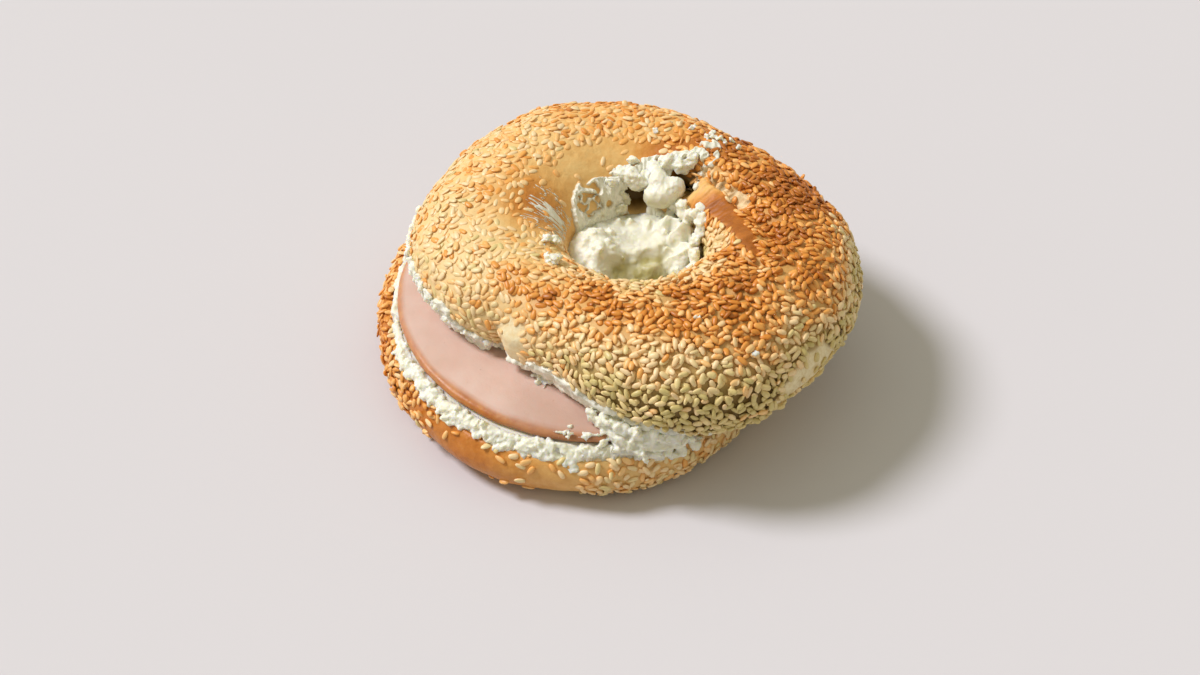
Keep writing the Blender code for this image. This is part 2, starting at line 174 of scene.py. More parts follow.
# Cream on the wall of the hole: (place over the tilted cut face, distance out from the wall, radii)
HANGING_LUMPS = (
    ((4.2, 24.8, 18.8), 0.4, (2.5, 2.3, 2.3)), ((5.0, 22.8, 18.0), 0.8, (2.6, 2.7, 3.2)),
    ((6.0, 20.8, 16.6), 1.8, (3.4, 3.1, 3.8)), ((5.0, 19.0, 14.2), 2.8, (3.8, 3.3, 3.6)),
    ((7.8, 18.8, 14.0), 3.0, (4.2, 3.4, 3.8)), ((9.4, 18.8, 15.8), 2.6, (3.2, 3.0, 3.8)),
)
WALL_LUMPS = (
    ((-4.8, 22.8, 17.6), 0.8, (2.6, 1.9, 1.9)), ((-2.8, 22.4, 17.2), 1.4, (2.8, 2.3, 2.7)),
    ((0.4, 22.3, 16.6), 1.7, (3.0, 2.3, 2.7)), ((2.6, 22.8, 17.2), 1.0, (2.4, 2.0, 2.1)),
    ((8.4, 25.0, 20.0), 0.7, (3.0, 2.4, 2.0)), ((11.6, 25.0, 20.4), 0.7, (2.8, 2.4, 1.9)),
    ((15.0, 24.8, 21.2), 0.3, (2.6, 2.0, 1.4)), ((-1.6, 26.2, 19.6), 0.1, (1.8, 2.2, 1.1)),
    ((-7.6, 20.4, 16.4), 0.2, (2.0, 1.4, 2.6)), ((-5.8, 19.4, 12.6), 0.3, (1.9, 1.4, 3.4)),
    ((-5.6, 18.6, 9.6), 0.3, (2.2, 1.5, 2.6)),
)
WALL_EDGE = (  # turn at which the cream on the wall ends: (direction, turn)
    (44.0, 92.0), (50.0, 82.0), (54.0, 79.0), (58.0, 86.0), (62.0, 108.0), (68.0, 114.0), (76.0, 121.0),
    (88.0, 126.0), (98.0, 133.0), (108.0, 142.0), (119.0, 143.0), (134.0, 139.0), (141.0, 143.0),
    (150.0, 156.0), (158.0, 174.0),
)
WALL_GAPS = ((91.0, 167.0, 10.0, 16.0), (57.0, 147.0, 11.0, 17.0))  # (direction, turn, and half of each)

# Cream between the layers. Tables that start with a direction give a height, turn or drop for it
MELT_FINE, MELT_COARSE, CRUMB_GRAIN = 0.34, 0.36, 0.24  # grain of the cream's surface
CREAM_ROWS, LAYER_ROWS = 360, 300
BAND_HEIGHTS = (0.0, 0.0, 0.45, 1.0, 1.0)  # of the five points round a band's section
EDGE_REACH = (  # how far the cream smeared along the upper half's cut edge reaches up
    (168.0, 0.0), (174.0, 5.0), (180.0, 8.5), (188.0, 9.0), (199.0, 7.5), (206.0, 6.4), (212.0, 5.4),
    (217.0, 1.5), (221.0, 2.0), (231.0, 2.6), (236.0, 5.6), (245.0, 6.4), (254.0, 6.8), (262.0, 6.2),
    (270.0, 4.6), (280.0, 2.0), (290.0, 0.0),
)
EDGE_CURDS = (  # highest turn of the curds that show past that edge at the left
    (156.0, -16.0), (164.0, 2.0), (178.0, 9.0), (186.0, 7.0), (196.0, -3.0), (206.0, -14.0), (217.0, -26.0),
)
LOWER_DROP = (  # how far below the cut the cream hangs over the lower half's edge
    (200.0, -1.6), (223.0, -0.4), (242.0, 0.2), (254.0, 1.0), (264.0, 1.4), (274.0, 1.8), (285.0, 2.2),
    (292.0, 1.4), (302.0, 0.0),
)
SPILL = (  # lumps spilt over the end of the ham, from the middle of the upper half: (place, radii)
    ((-12.6, -54.4, 1.4), (1.8, 1.3, 1.5)), ((-11.2, -55.4, -0.4), (2.4, 1.6, 1.5)),
    ((-9.4, -56.2, 1.6), (2.0, 1.5, 1.8)), ((-8.2, -57.2, -1.2), (2.6, 1.9, 1.7)),
    ((-6.8, -57.8, 1.2), (2.4, 1.7, 1.9)), ((-5.8, -59.0, -2.2), (3.0, 2.2, 1.6)),
    ((-4.2, -58.8, 1.0), (2.6, 1.8, 2.0)), ((-3.0, -60.4, -2.6), (3.0, 2.0, 1.8)),
    ((-1.2, -60.0, 0.4), (2.8, 1.8, 2.0)), ((0.8, -60.8, -2.8), (2.8, 2.0, 2.0)),
    ((2.2, -60.2, 0.4), (2.8, 1.7, 1.6)), ((5.4, -59.8, 0.0), (2.8, 1.7, 1.6)),
    ((8.8, -58.8, -0.6), (2.6, 1.6, 1.5)), ((-8.6, -58.2, -3.4), (2.6, 1.8, 1.0)),
    ((-5.6, -59.8, -4.4), (2.4, 1.8, 1.3)), ((-2.0, -60.8, -5.0), (3.0, 1.7, 1.5)),
    ((2.8, -60.6, -1.2), (2.4, 1.7, 1.7)), ((4.2, -60.4, -3.6), (3.0, 2.0, 2.0)),
    ((7.0, -59.8, -2.4), (2.4, 1.7, 1.7)), ((7.8, -59.2, -4.4), (2.8, 1.9, 1.8)),
    ((10.8, -58.0, -3.8), (2.4, 1.8, 1.6)), ((2.0, -60.4, -6.2), (3.2, 1.6, 1.8)),
    ((6.2, -59.6, -6.4), (3.0, 1.6, 1.9)), ((10.0, -58.4, -6.4), (2.6, 1.6, 1.7)),
    ((13.4, -56.8, -6.0), (2.2, 1.5, 1.4)), ((-1.0, -60.2, -7.6), (2.4, 1.2, 1.2)),
    ((4.2, -60.0, -8.6), (2.2, 1.2, 1.3)), ((8.4, -58.8, -8.8), (1.8, 1.1, 1.2)),
    ((-11.6, -57.9, -2.8), (1.8, 1.1, 0.75)), ((-14.4, -58.5, -2.4), (1.8, 0.8, 0.7)),
    ((-17.6, -58.2, -2.1), (1.8, 0.6, 0.65)), ((-20.8, -57.4, -2.0), (1.7, 0.5, 0.6)),
    ((-18.2, -55.6, -1.6), (0.6, 0.5, 0.5)), ((-25.8, -38.8, -0.9), (1.3, 0.6, 0.6)),
    ((-24.8, -40.0, -1.0), (0.6, 1.2, 0.6)), ((-26.8, -40.4, -1.0), (0.9, 0.6, 0.5)),
    ((-25.2, -41.8, -1.0), (0.5, 0.8, 0.5)), ((-28.6, -38.0, -0.8), (0.8, 0.6, 0.5)),
)
CRUMBS = (  # crumbs of cream on the crust: x, y, size
    (-23.8, -7.0, 3.0), (-25.2, -8.4, 1.8), (-22.4, -18.2, 3.4), (-24.6, -17.4, 2.2), (14.0, -44.0, 1.4),
    (27.8, -51.1, 1.6), (4.7, 35.0, 1.2), (14.5, 36.0, 1.4), (16.0, 38.0, 1.2), (18.5, 33.0, 1.8),
    (20.5, 35.5, 1.5), (22.0, 32.5, 1.9), (24.0, 30.5, 1.5), (25.5, 33.0, 1.3), (27.0, 29.0, 1.3),
)

CRUMBS_ABOVE = 6.0  # they lie on the top side of the crust, which is above this

# Numbers of curds, and of the torn parts that make up each lump
MOUND_CURDS, EDGE_CURD_COUNT, UNDER_HAM_CURDS = 26, 150, 360
LEFT_RIM_CURDS, FRONT_RIM_CURDS = 60, 80
HEAP_PARTS, SPILL_PARTS, CRUMB_PARTS = 3, 2, 6

# Films of cream: how deep they lie below the crust where there is none, and from where a film is drawn
FILM_SUNK = 0.5
FILM_SHOWN = -0.35
SHEER_BELOW, SHEER_SOFT = 0.52, 0.45  # thickness under which a film is sheer, and how softly it gets so

# Camera and light
CAMERA_AIM = Vector((-4.35, 2.6, 0.0))  # lies in the middle of the picture
CAMERA_ELEVATION = 43.0
CAMERA_DISTANCE = 600.0
CAMERA_LENS = 63.9
SENSOR_WIDTH = 36.0
KEY_FROM = Vector((-0.65, 0.15, 0.746))
KEY_SPREAD = 17.0  # degrees across, which softens the shadow
KEY_STRENGTH = 2.88
KEY_COLOUR = (1.0, 1.0, 1.08)
FILL_FROM = Vector((0.30, 0.30, 1.0))
FILL_RANGE = (0.215, 0.58)  # strength of the sky's light opposite that side and on it
FILL_COLOUR = (1.0, 0.97, 0.78)
FLOOR_SIZE = 6.0  # metres
RANGE_SOCKETS = ("From Min", "From Max", "To Min", "To Max")  # of a node that maps values


# Sums shared by the forms

def smooth_step(value):
    """A soft rise from 0 to 1 while the value goes from 0 to 1."""
    value = np.clip(value, 0.0, 1.0)
    return value * value * (3.0 - 2.0 * value)


def fade(past, width):
    """A soft rise from 0 at an edge to 1 from a width past it."""
    return smooth_step(past / width)


def degrees_off(angle, way):
    """How far an angle, in radians, is from a direction in degrees, as degrees from -180 to 180."""
    return (np.degrees(angle) - way + 180.0) % 360.0 - 180.0


def direction(angle):
    """An angle in radians as degrees from 0 to 360."""
    return np.degrees(angle) % 360.0


def bumps(angle, *terms):
    """Sum of soft bumps round a ring: (direction, spread, height)."""
    return sum(size * np.exp(-((degrees_off(angle, way) / spread) ** 2)) for way, spread, size in terms)


def lobes(angle, terms):
    """Sum of even waves round a ring: (how many, height, direction of a crest)."""
    return sum(size * np.cos(count * (angle - math.radians(way))) for count, size, way in terms)


def spots(x, y, terms):
    """Sum of soft round spots: (place, radius, strength)."""
    return sum(
        size * np.exp(-((x - at[0]) ** 2 + (y - at[1]) ** 2) / radius**2) for at, radius, size in terms
    )


def between(table, at):
    """Value at a place, from the nearest (place, value) pairs of a table."""
    return np.interp(at, *np.transpose(table))


def joined(x, y, z):
    """Points from their x, y and z."""
    return np.stack((x, y, z), axis=-1)


def around(distance, angle):
    """x and y of places this far from the middle, this way."""
    return distance * np.cos(angle), distance * np.sin(angle)


def noise_of(points, wave, shift=0.0):
    """Soft noise of about -1 to 1 at each point, its rises this many mm apart."""
    places = points.reshape(-1, 3) / wave + shift
    return np.array([noise.noise(place) for place in places.tolist()]).reshape(points.shape[:-1])


def flat_noise(x, y, wave, shift=0.0):
    """The same noise over the plan."""
    return noise_of(joined(x, y, 0.0 * x), wave, shift)


def fractal_of(points, wave, shift=0.0):
    """Noise with three sizes of rises, the largest this many mm apart."""
    return sum(noise_of(points, wave / 2**step, shift + 7.0 * step) / 1.7**step for step in range(3))


def swell(x, y, z):
    x, y, z = np.broadcast_arrays(x, y, z)
    return SWELL * noise_of(joined(x, y, z), SWELL_WAVE)


def line_distance(x, y, points):
    """Distance in plan from a bent line."""
    nearest = np.full(np.shape(x), np.inf)
    for start, end in zip(points, points[1:]):
        way = np.array(end) - np.array(start)
        from_x, from_y = x - start[0], y - start[1]
        share = np.clip((from_x * way[0] + from_y * way[1]) / (way @ way), 0.0, 1.0)
        nearest = np.minimum(nearest, np.hypot(from_x - share * way[0], from_y - share * way[1]))
    return nearest


def plan_of(points):
    """x, y, angle and distance from the middle of points, seen from above."""
    x, y = points[..., 0], points[..., 1]
    return x, y, np.arctan2(y, x), np.hypot(x, y)


def level_of(points):
    """Points of the upper half, with their heights counted from the tilted cut face."""
    return points - points[..., :1] * (0.0, 0.0, TILT)


def round_angles(rows):
    return (math.tau * np.arange(rows) / rows)[:, None]


def unit(vectors):
    return vectors / np.linalg.norm(vectors, axis=-1, keepdims=True)


# Forms of the solids

def cut_face(x):
    return CUT_HEIGHT + CUT_SLOPE * x


def ham_base(x):
    return HAM_BASE + TILT * x


def lower_outer(angle):
    return LOWER_OUTER + lobes(angle, LOWER_OUTLINE) + bumps(angle, *LOWER_BUMPS)


def lower_point(angle, turn):
    """A point of the lower half's skin, from its middle. turn is 0 at the outside and 90 degrees on top."""
    half = (lower_outer(angle) - LOWER_HOLE) / 2.0
    along = LOWER_HOLE + half + half * np.cos(turn)
    z = LOWER_WAIST + LOWER_BULGE * np.sin(turn)
    x, y = around(along, angle)
    out = 1.0 + swell(x, y, z - LOWER_SWELL_SHIFT) * np.cos(turn) / along
    top = cut_face(LOWER_MIDDLE[0] + x * out)
    return joined(x * out, y * out, np.minimum(np.maximum(z, 0.0), top))


def upper_outer(angle):
    return UPPER_OUTER + lobes(angle, UPPER_OUTLINE)


def upper_lift(angle, along):
    """How far the front of the cut face is lifted, this far from the middle."""
    return bumps(angle, LIFTED_EDGE) * fade(along - LIFT_FROM, LIFT_TO - LIFT_FROM)


def lap_rise(x, y):
    """Rise of the crust where the end of the dough rope laps over it, and the furrow beside it."""
    way = LAP_END - LAP_START
    length = math.hypot(*way)
    from_x, from_y = x - LAP_START[0], y - LAP_START[1]
    share = (from_x * way[0] + from_y * way[1]) / length**2
    off = (way[0] * from_y - way[1] * from_x) / length
    ends = fade(share + 0.25, 0.3) * fade(1.25 - share, 0.3)
    ridge = LAP_HEIGHT * np.exp(-((off / LAP_HALF_WIDTH) ** 2))
    ditch = LAP_DITCH * np.exp(-(((off - 1.7 * LAP_HALF_WIDTH) / 2.4) ** 2))
    return ends * (ridge - ditch)


def upper_point(angle, turn):
    """A point of the upper half's skin, from its middle. turn is 0 at the outside and 90 degrees on top."""
    hole = UPPER_HOLE + bumps(angle, *HOLE_BUMPS)
    half = (upper_outer(angle) - hole) / 2.0
    along = hole + half + half * np.cos(turn)
    above = np.sin(turn) > 0.0
    crest = UPPER_CREST + lobes(angle, UPPER_CRESTS) - UPPER_WAIST
    z = UPPER_WAIST + np.where(above, crest, UPPER_BELLY) * np.sin(turn)
    x, y = around(along, angle)
    bump = swell(x, y, z) + np.where(above, lap_rise(x, y), 0.0)
    notch = bumps(angle, NOTCH) * smooth_step(1.0 - z / NOTCH_HEIGHT)
    bump = bump - np.where(np.cos(turn) > 0.0, notch, 0.0)
    out = 1.0 + bump * np.cos(turn) / along
    z = np.maximum(z + bump * np.sin(turn), upper_lift(angle, along))
    return joined(x * out, y * out, z + TILT * x * out)


def ring_reach(point_at, angle, turn):
    """Distance in plan from a ring's middle to its skin, at a turn in degrees."""
    points = point_at(angle, np.full(np.shape(angle), math.radians(turn)))
    return np.hypot(points[..., 0], points[..., 1])


def lower_rim(angle):
    """Distance from the lower half's middle to the edge of its cut face."""
    return ring_reach(lower_point, angle, LOWER_RIM_TURN)


def ham_reach(angle, middle=UPPER_MIDDLE):
    """Distance from a middle to the ham's rim, this way."""
    offset = middle - HAM_MIDDLE
    start_x, start_y = offset[0] / HAM_HALF_WIDTH, offset[1] / HAM_HALF_DEPTH
    way_x, way_y = np.cos(angle) / HAM_HALF_WIDTH, np.sin(angle) / HAM_HALF_DEPTH
    length = way_x**2 + way_y**2
    slant = (start_x * way_x + start_y * way_y) / length
    return np.sqrt(slant**2 + (1.0 - start_x**2 - start_y**2) / length) - slant


def upper_cream_rim(angle):
    under_bread = ring_reach(upper_point, angle, -UPPER_RIM_TURN)
    return np.minimum(under_bread - UPPER_CREAM_INSET, ham_reach(angle) - 1.2)


# Meshes

def section_turns(*stretches):
    """Turns round a section, from stretches of (first, last, steps) in degrees that follow each other."""
    return np.concatenate([
        np.radians(first + (last - first) * np.arange(steps) / steps) for first, last, steps in stretches
    ])


def grid_normals(points):
    """Unit normals of a grid of points whose rows and columns both close."""
    onward = np.roll(points, -1, axis=0) - np.roll(points, 1, axis=0)
    over = np.roll(points, -1, axis=1) - np.roll(points, 1, axis=1)
    normals = np.cross(onward, over)
    return normals / np.maximum(np.linalg.norm(normals, axis=-1, keepdims=True), 1e-9)


def grid_faces(rows, columns, close_rows, close_columns):
    """Four-cornered faces of a grid of points numbered row by row."""
    row = np.arange(rows if close_rows else rows - 1)
    column = np.arange(columns if close_columns else columns - 1)
    row, column = np.meshgrid(row, column, indexing="ij")
    next_row, next_column = (row + 1) % rows, (column + 1) % columns
    corners = (
        row * columns + column,
        next_row * columns + column,
        next_row * columns + next_column,
        row * columns + next_column,
    )
    return np.stack(corners, axis=-1).reshape(-1, 4)


def capped_faces(rows, columns):
    """Faces of a grid whose rows go round, closed at its first and last columns."""
    faces = grid_faces(rows, columns, True, False).tolist()
    faces.append([row * columns for row in range(rows)][::-1])
    faces.append([row * columns + columns - 1 for row in range(rows)])
    return faces


def mesh_object(name, points, faces):
    mesh = bpy.data.meshes.new(name)
    mesh.from_pydata(points.tolist(), [], faces if isinstance(faces, list) else faces.tolist())
    mesh.update()
    made = bpy.data.objects.new(name, mesh)
    bpy.context.scene.collection.objects.link(made)
    return made


def new_mesh(name, points, faces, middle=(0.0, 0.0, 0.0)):
    """A smooth mesh object, from points in mm about a middle."""
    made = mesh_object(name, (points.reshape(-1, 3) + middle) * MM, faces)
    made.data.shade_smooth()
    return made


def give(piece, **fields):
    """Stores a number at each vertex, for the materials to read."""
    for name, values in fields.items():
        made = piece.data.attributes.new(name, "FLOAT", "POINT")
        made.data.foreach_set("value", np.asarray(values, dtype=np.float32).ravel())


def dress(piece, finish, slot, *nodes):
    """Gives a piece its material, hangs it under the root body and hides the solids it stands for. The slot
    is not used.
    """
    piece.data.materials.clear()
    piece.data.materials.append(finish)
    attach(piece, "root")
    if nodes:
        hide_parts(*nodes)


class Skin:
    """A ring's crust: a grid of points, rows round the ring and columns round its section."""

    def __init__(self, point_at, rows, turns, middle):
        self.angles = math.tau * np.arange(rows) / rows
        self.turns = turns
        self.middle = middle
        self.points = point_at(self.angles[:, None], turns[None, :])
        self.flat_points = self.points
        self.normals = grid_normals(self.points)

    def raise_by(self, heights):
        self.points = self.points + self.normals * heights[..., None]
        self.normals = grid_normals(self.points)

    def faces(self):
        return grid_faces(*self.points.shape[:2], True, True)

    def areas(self):
        onward = np.roll(self.points, -1, axis=0) - self.points
        over = np.roll(self.points, -1, axis=1) - self.points
        return np.linalg.norm(np.cross(onward, over), axis=-1)

    def at(self, row, column):
        """(points, normals) at places between the rows and columns."""
        rows, columns = self.points.shape[:2]
        low_row, low_column = np.floor(row).astype(int), np.floor(column).astype(int)
        part_row, part_column = (row - low_row)[..., None], (column - low_column)[..., None]
        found = []
        for grid in (self.points, self.normals):
            near, far = (
                grid[line % rows, low_column % columns] * (1.0 - part_column)
                + grid[line % rows, (low_column + 1) % columns] * part_column
                for line in (low_row, low_row + 1)
            )
            found.append(near * (1.0 - part_row) + far * part_row)
        return found[0], unit(found[1])

    def place_of(self, angle, turn):
        """Row and column of an angle and a turn, both in radians."""
        row = angle / math.tau * len(self.angles)
        return row, np.interp(turn, self.turns, np.arange(len(self.turns)))

    def near(self, place):
        """(point, normal) of the skin nearest to a place whose height is over the tilted cut face."""
        place = np.array(place) + (0.0, 0.0, TILT * place[0])
        away = np.linalg.norm(self.points - place, axis=-1)
        found = np.unravel_index(np.argmin(away), away.shape)
        return self.points[found], self.normals[found]


# Materials

class Finish:
    """A node-based material in the making, with places in mm."""

    def __init__(self, name, roughness):
        self.material = bpy.data.materials.new(name)
        self.material.use_nodes = True
        self.tree = self.material.node_tree
        self.shader = self.tree.nodes["Principled BSDF"]
        self.shader.inputs["Roughness"].default_value = roughness
        place = self.node("ShaderNodeTexCoord")
        scaled = self.node("ShaderNodeVectorMath")
        scaled.operation = "SCALE"
        scaled.inputs["Scale"].default_value = 1.0 / MM
        self.link(place.outputs["Object"], scaled.inputs[0])
        self.place = scaled.outputs["Vector"]

    def node(self, kind):
        return self.tree.nodes.new(kind)

    def link(self, source, target):
        self.tree.links.new(source, target)

    def set(self, **values):
        """Constant values on the shader's own sockets, their names in lower case with _ for spaces."""
        for socket in self.shader.inputs:
            key = socket.name.lower().replace(" ", "_")
            if key in values:
                socket.default_value = values[key]

    def noise(self, size, detail=3.0, roughness=0.55):
        made = self.node("ShaderNodeTexNoise")
        made.inputs["Scale"].default_value = 1.0 / size
        made.inputs["Detail"].default_value = detail
        made.inputs["Roughness"].default_value = roughness
        self.link(self.place, made.inputs["Vector"])
        return made.outputs["Fac"]

    def cells(self, size):
        made = self.node("ShaderNodeTexVoronoi")
        made.inputs["Scale"].default_value = 1.0 / size
        self.link(self.place, made.inputs["Vector"])
        return made.outputs["Distance"]

    def field(self, name):
        made = self.node("ShaderNodeAttribute")
        made.attribute_name = name
        return made.outputs["Fac"]

    def sum(self, operation, first, second):
        made = self.node("ShaderNodeMath")
        made.operation = operation
        for socket, value in zip(made.inputs, (first, second)):
            if isinstance(value, float):
                socket.default_value = value
            else:
                self.link(value, socket)
        return made.outputs[0]

    def varied(self, value, share, size, detail, roughness=0.55):
        """A value with a share of noise, which raises it as often as it lowers it."""
        even = self.sum("SUBTRACT", self.noise(size, detail, roughness), 0.5)
        return self.sum("ADD", value, self.sum("MULTIPLY", even, share))

    def spread(self, value, low, high, to_low=0.0, to_high=1.0):
        made = self.node("ShaderNodeMapRange")
        for name, number in zip(RANGE_SOCKETS, (low, high, to_low, to_high)):
            made.inputs[name].default_value = number
        self.link(value, made.inputs["Value"])
        return made.outputs["Result"]

    def ramp(self, value, *stops):
        """A colour for a value, from stops of (value, colour)."""
        made = self.node("ShaderNodeValToRGB")
        elements = made.color_ramp.elements
        while len(elements) < len(stops):
            elements.new(0.5)
        for element, (position, colour) in zip(elements, stops):
            element.position = position
            element.color = (*colour, 1.0)
        self.link(value, made.inputs["Fac"])
        return made.outputs["Color"]

    def blend(self, share, first, second):
        made = self.node("ShaderNodeMix")
        made.data_type = "RGBA"
        colours = [socket for socket in made.inputs if socket.type == "RGBA"]
        for socket, value in zip((made.inputs["Factor"], *colours), (share, first, second)):
            if isinstance(value, tuple):
                socket.default_value = (*value, 1.0)
            else:
                self.link(value, socket)
        return next(socket for socket in made.outputs if socket.type == "RGBA")

    def colour(self, value):
        self.link(value, self.shader.inputs["Base Color"])

    def roughness(self, value):
        self.link(value, self.shader.inputs["Roughness"])

    def bump(self, *layers):
        """Fine relief from layers of (height, depth in mm), each over the one before."""
        under = None
        for height, depth in layers:
            made = self.node("ShaderNodeBump")
            made.inputs["Distance"].default_value = depth * MM
            self.link(height, made.inputs["Height"])
            if under is not None:
                self.link(under, made.inputs["Normal"])
            under = made.outputs["Normal"]
        self.link(under, self.shader.inputs["Normal"])


def crust_finish(name):
    """Baked dough: pale where it hid, golden, and brown where it toasted, with a satin skin. Its darkest
    olive colours and a blended dark brown are painted shade, and part of its paleness is painted light.
    """
    crust = Finish(name, 0.42)
    baked = crust.ramp(
        crust.varied(crust.varied(crust.field("toast"), 0.34, 7.0, 4.0), 0.22, 1.6, 4.0, 0.65),
        # the stops at 0 and 0.14 are darker and more olive than at 0.30: painted shade on the sides at the
        # front and right, near the cut
        (0.0, (0.56, 0.41, 0.14)),
        (0.14, (0.75, 0.52, 0.19)),
        (0.30, (0.87, 0.57, 0.22)),
        (0.46, (0.82, 0.45, 0.135)),
        (0.62, (0.68, 0.29, 0.055)),
        (0.82, (0.52, 0.165, 0.018)),
        (1.0, (0.36, 0.105, 0.010)),
    )
    patchy = crust.spread(crust.noise(1.3, 4.0, 0.7), 0.36, 0.62, 0.5, 1.1)
    shade = crust.blend(crust.sum("MULTIPLY", crust.field("pale"), patchy), baked, (0.88, 0.75, 0.47))
    # painted shade: a dark brown blended in where the deep field says, in the hollows behind the cream,
    # between crossing seeds, in cracks and splits, and a little on the lower half under the upper half's
    # overhang
    crust.colour(crust.blend(crust.field("deep"), shade, (0.145, 0.080, 0.010)))
    crust.roughness(crust.spread(crust.field("gloss"), 0.0, 1.0, 0.55, 0.38))
    crust.bump((crust.noise(0.5, 5.0, 0.65), 0.12), (crust.cells(2.3), 0.14), (crust.noise(2.6, 3.0), 0.22))
    crust.set(specular_ior_level=0.38)
    return crust.material


def sesame_finish():
    """Hulled sesame: straw-coloured, golden or toasted, seed by seed, with a faint oily shine. The least
    toasted are darker and olive, which is painted shade on the sides.
    """
    sesame = Finish("sesame", 0.42)
    hull = sesame.ramp(
        sesame.varied(sesame.field("toast"), 0.16, 0.9, 2.0),
        # the stops at 0 and 0.11 are darker and more olive than at 0.24: painted shade for the seeds on the
        # sides at the front and right, near the cut
        (0.0, (0.62, 0.495, 0.185)),
        (0.11, (0.78, 0.605, 0.26)),
        (0.24, (0.89, 0.655, 0.36)),
        (0.34, (0.91, 0.565, 0.225)),
        (0.50, (0.86, 0.395, 0.085)),
        (0.75, (0.69, 0.245, 0.026)),
        (1.0, (0.45, 0.135, 0.011)),
    )
    sesame.colour(hull)
    sesame.bump((sesame.noise(0.35, 2.0), 0.03))
    sesame.set(specular_ior_level=0.45, coat_weight=0.08, coat_roughness=0.3)
    return sesame.material


def cream_finish(name, soaking):
    """Cream cheese: white, damp and grainy, with painted shade, a darker yellow, where it is smooth, and
    browner where it is sheer.
    """
    cream = Finish(name, 0.42)
    whey = cream.field("whey")
    tone = cream.noise(3.5, 3.0)
    curd = cream.ramp(tone, (0.3, (0.81, 0.785, 0.625)), (0.7, (0.87, 0.855, 0.745)))
    curd = cream.blend(cream.field("sheer"), curd, (0.62, 0.47, 0.25))
    # painted shade: a darker yellow on the front of the heap, over its ledge and low on the lumps on the
    # wall of the hole, where the cream is also smoother
    cream.colour(cream.blend(whey, curd, (0.45, 0.40, 0.165)))
    cream.roughness(cream.spread(cream.noise(1.5, 2.0), 0.3, 0.7, 0.32, 0.55))
    grain = cream.sum("SUBTRACT", 1.0, whey)
    fine = cream.sum("MULTIPLY", cream.noise(0.6, 4.0, 0.65), grain)
    coarse = cream.sum("MULTIPLY", cream.noise(1.7, 2.0), grain)
    cream.bump((fine, 0.12), (coarse, 0.20))
    cream.set(specular_ior_level=0.45, subsurface_weight=soaking, subsurface_scale=0.0016,
              subsurface_radius=(1.0, 0.85, 0.42))
    return cream.material


def ham_finish():
    """Cooked ham: pink, damp, faintly mottled, with a smoked orange rind, and painted shade darkening it
    near its rim towards the right, under the upper half.
    """
    ham = Finish("ham", 0.36)
    cloudy = ham.noise(9.0, 4.0)
    flesh = ham.ramp(cloudy, (0.3, (0.67, 0.455, 0.37)), (0.7, (0.72, 0.52, 0.44)))
    specks = ham.spread(ham.cells(5.5), 0.03, 0.06, 1.0, 0.0)
    flesh = ham.blend(ham.sum("MULTIPLY", specks, 0.55), flesh, (0.50, 0.26, 0.19))
    rind = ham.ramp(ham.noise(2.5, 3.0), (0.3, (0.41, 0.115, 0.010)), (0.7, (0.55, 0.205, 0.024)))
    shade = ham.blend(ham.field("rind"), flesh, rind)
    # painted shade: this darkens the ham near its rim towards the right, under the upper half
    ham.colour(ham.blend(ham.field("moist"), shade, (0.42, 0.24, 0.17)))
    ham.roughness(ham.spread(ham.noise(3.0, 3.0), 0.3, 0.7, 0.34, 0.50))
    ham.bump((ham.noise(0.7, 3.0), 0.06), (ham.noise(4.0, 3.0), 0.20))
    ham.set(specular_ior_level=0.36, subsurface_weight=0.25, subsurface_scale=0.0012,
            subsurface_radius=(1.0, 0.35, 0.25))
    return ham.material


# Crusts

def upper_fields(points):
    """How toasted, glossy and pale the upper crust is at points from its middle, its paleness partly painted
    light, and how much painted shade darkens it, each 0 to 1.
    """
    x, y, angle, radius = plan_of(points)
    z = level_of(points)[..., 2]
    side_top = between(BARE_SIDE, direction(angle))
    lap = smooth_lap(x, y) * fade(z - LAP_FOOT, 4.0)
    gloss = glossy_area(points)
    toast = upper_toast(points)
    toast = np.where(toast > 0.3, 0.3 + 0.45 * (toast - 0.3), toast)
    lap_toast = 0.96 - 0.54 * fade(y - 8.0, 8.0) + 0.20 * noise_of(points, 4.2, 73.0)
    toast = toast + (lap_toast - toast) * lap
    toast = toast + (0.05 * gloss + spots(x, y, BROWNER)) * (1.0 - lap)

    torn = torn_crust(x, y) * (1.0 - lap)
    lobe = bumps(angle, (LOBE_WAY, 8.0, 1.2)) * fade(17.0 - z, 4.0)
    low_side = fade(side_top - z + 1.6 * noise_of(points, 4.4, 19.0), 2.4)
    # painted light: the crust is paler near the front lip of the hole, where the cream throws light back on
    # it
    lip = fade(31.0 - radius, 5.0) * bumps(angle, (290.0, 60.0, 1.0))
    left = 0.34 * bumps(angle, (200.0, 36.0, 1.0)) * fade(radius - 34.0, 8.0)
    pale = np.maximum.reduce([0.75 * torn, 0.9 * lobe, 1.1 * low_side, 0.6 * lip, left])
    pale = np.clip(pale, 0.0, 1.0) * (1.0 - lap)

    # painted shade: the crust is darker between the seeds where they stand up and cross, less so higher up
    shaded = 0.92 * upper_wild(points) * (1.0 - np.maximum(pale, gloss)) * (1.0 - lap)
    shaded = shaded * (1.0 - 0.65 * fade(z - 11.0, 8.0))
    # painted shade in the cracks of the torn crust and in the split beside the pale lobe
    cracks = 0.6 * torn * fade(noise_of(points, 2.2, 65.0) - 0.12, 0.25)
    split = 0.5 * bumps(angle, (SPLIT_WAY, 1.0, 1.0)) * fade(15.0 - z, 4.0)
    # all of deep is painted shade; the hollows behind the cream are darkened too
    deep = np.maximum.reduce([hollow_depth(points), shaded, cracks, split])
    return np.clip(toast, 0.0, 1.0), np.clip(np.maximum(gloss, 0.45 * lap), 0.0, 1.0), pale, deep


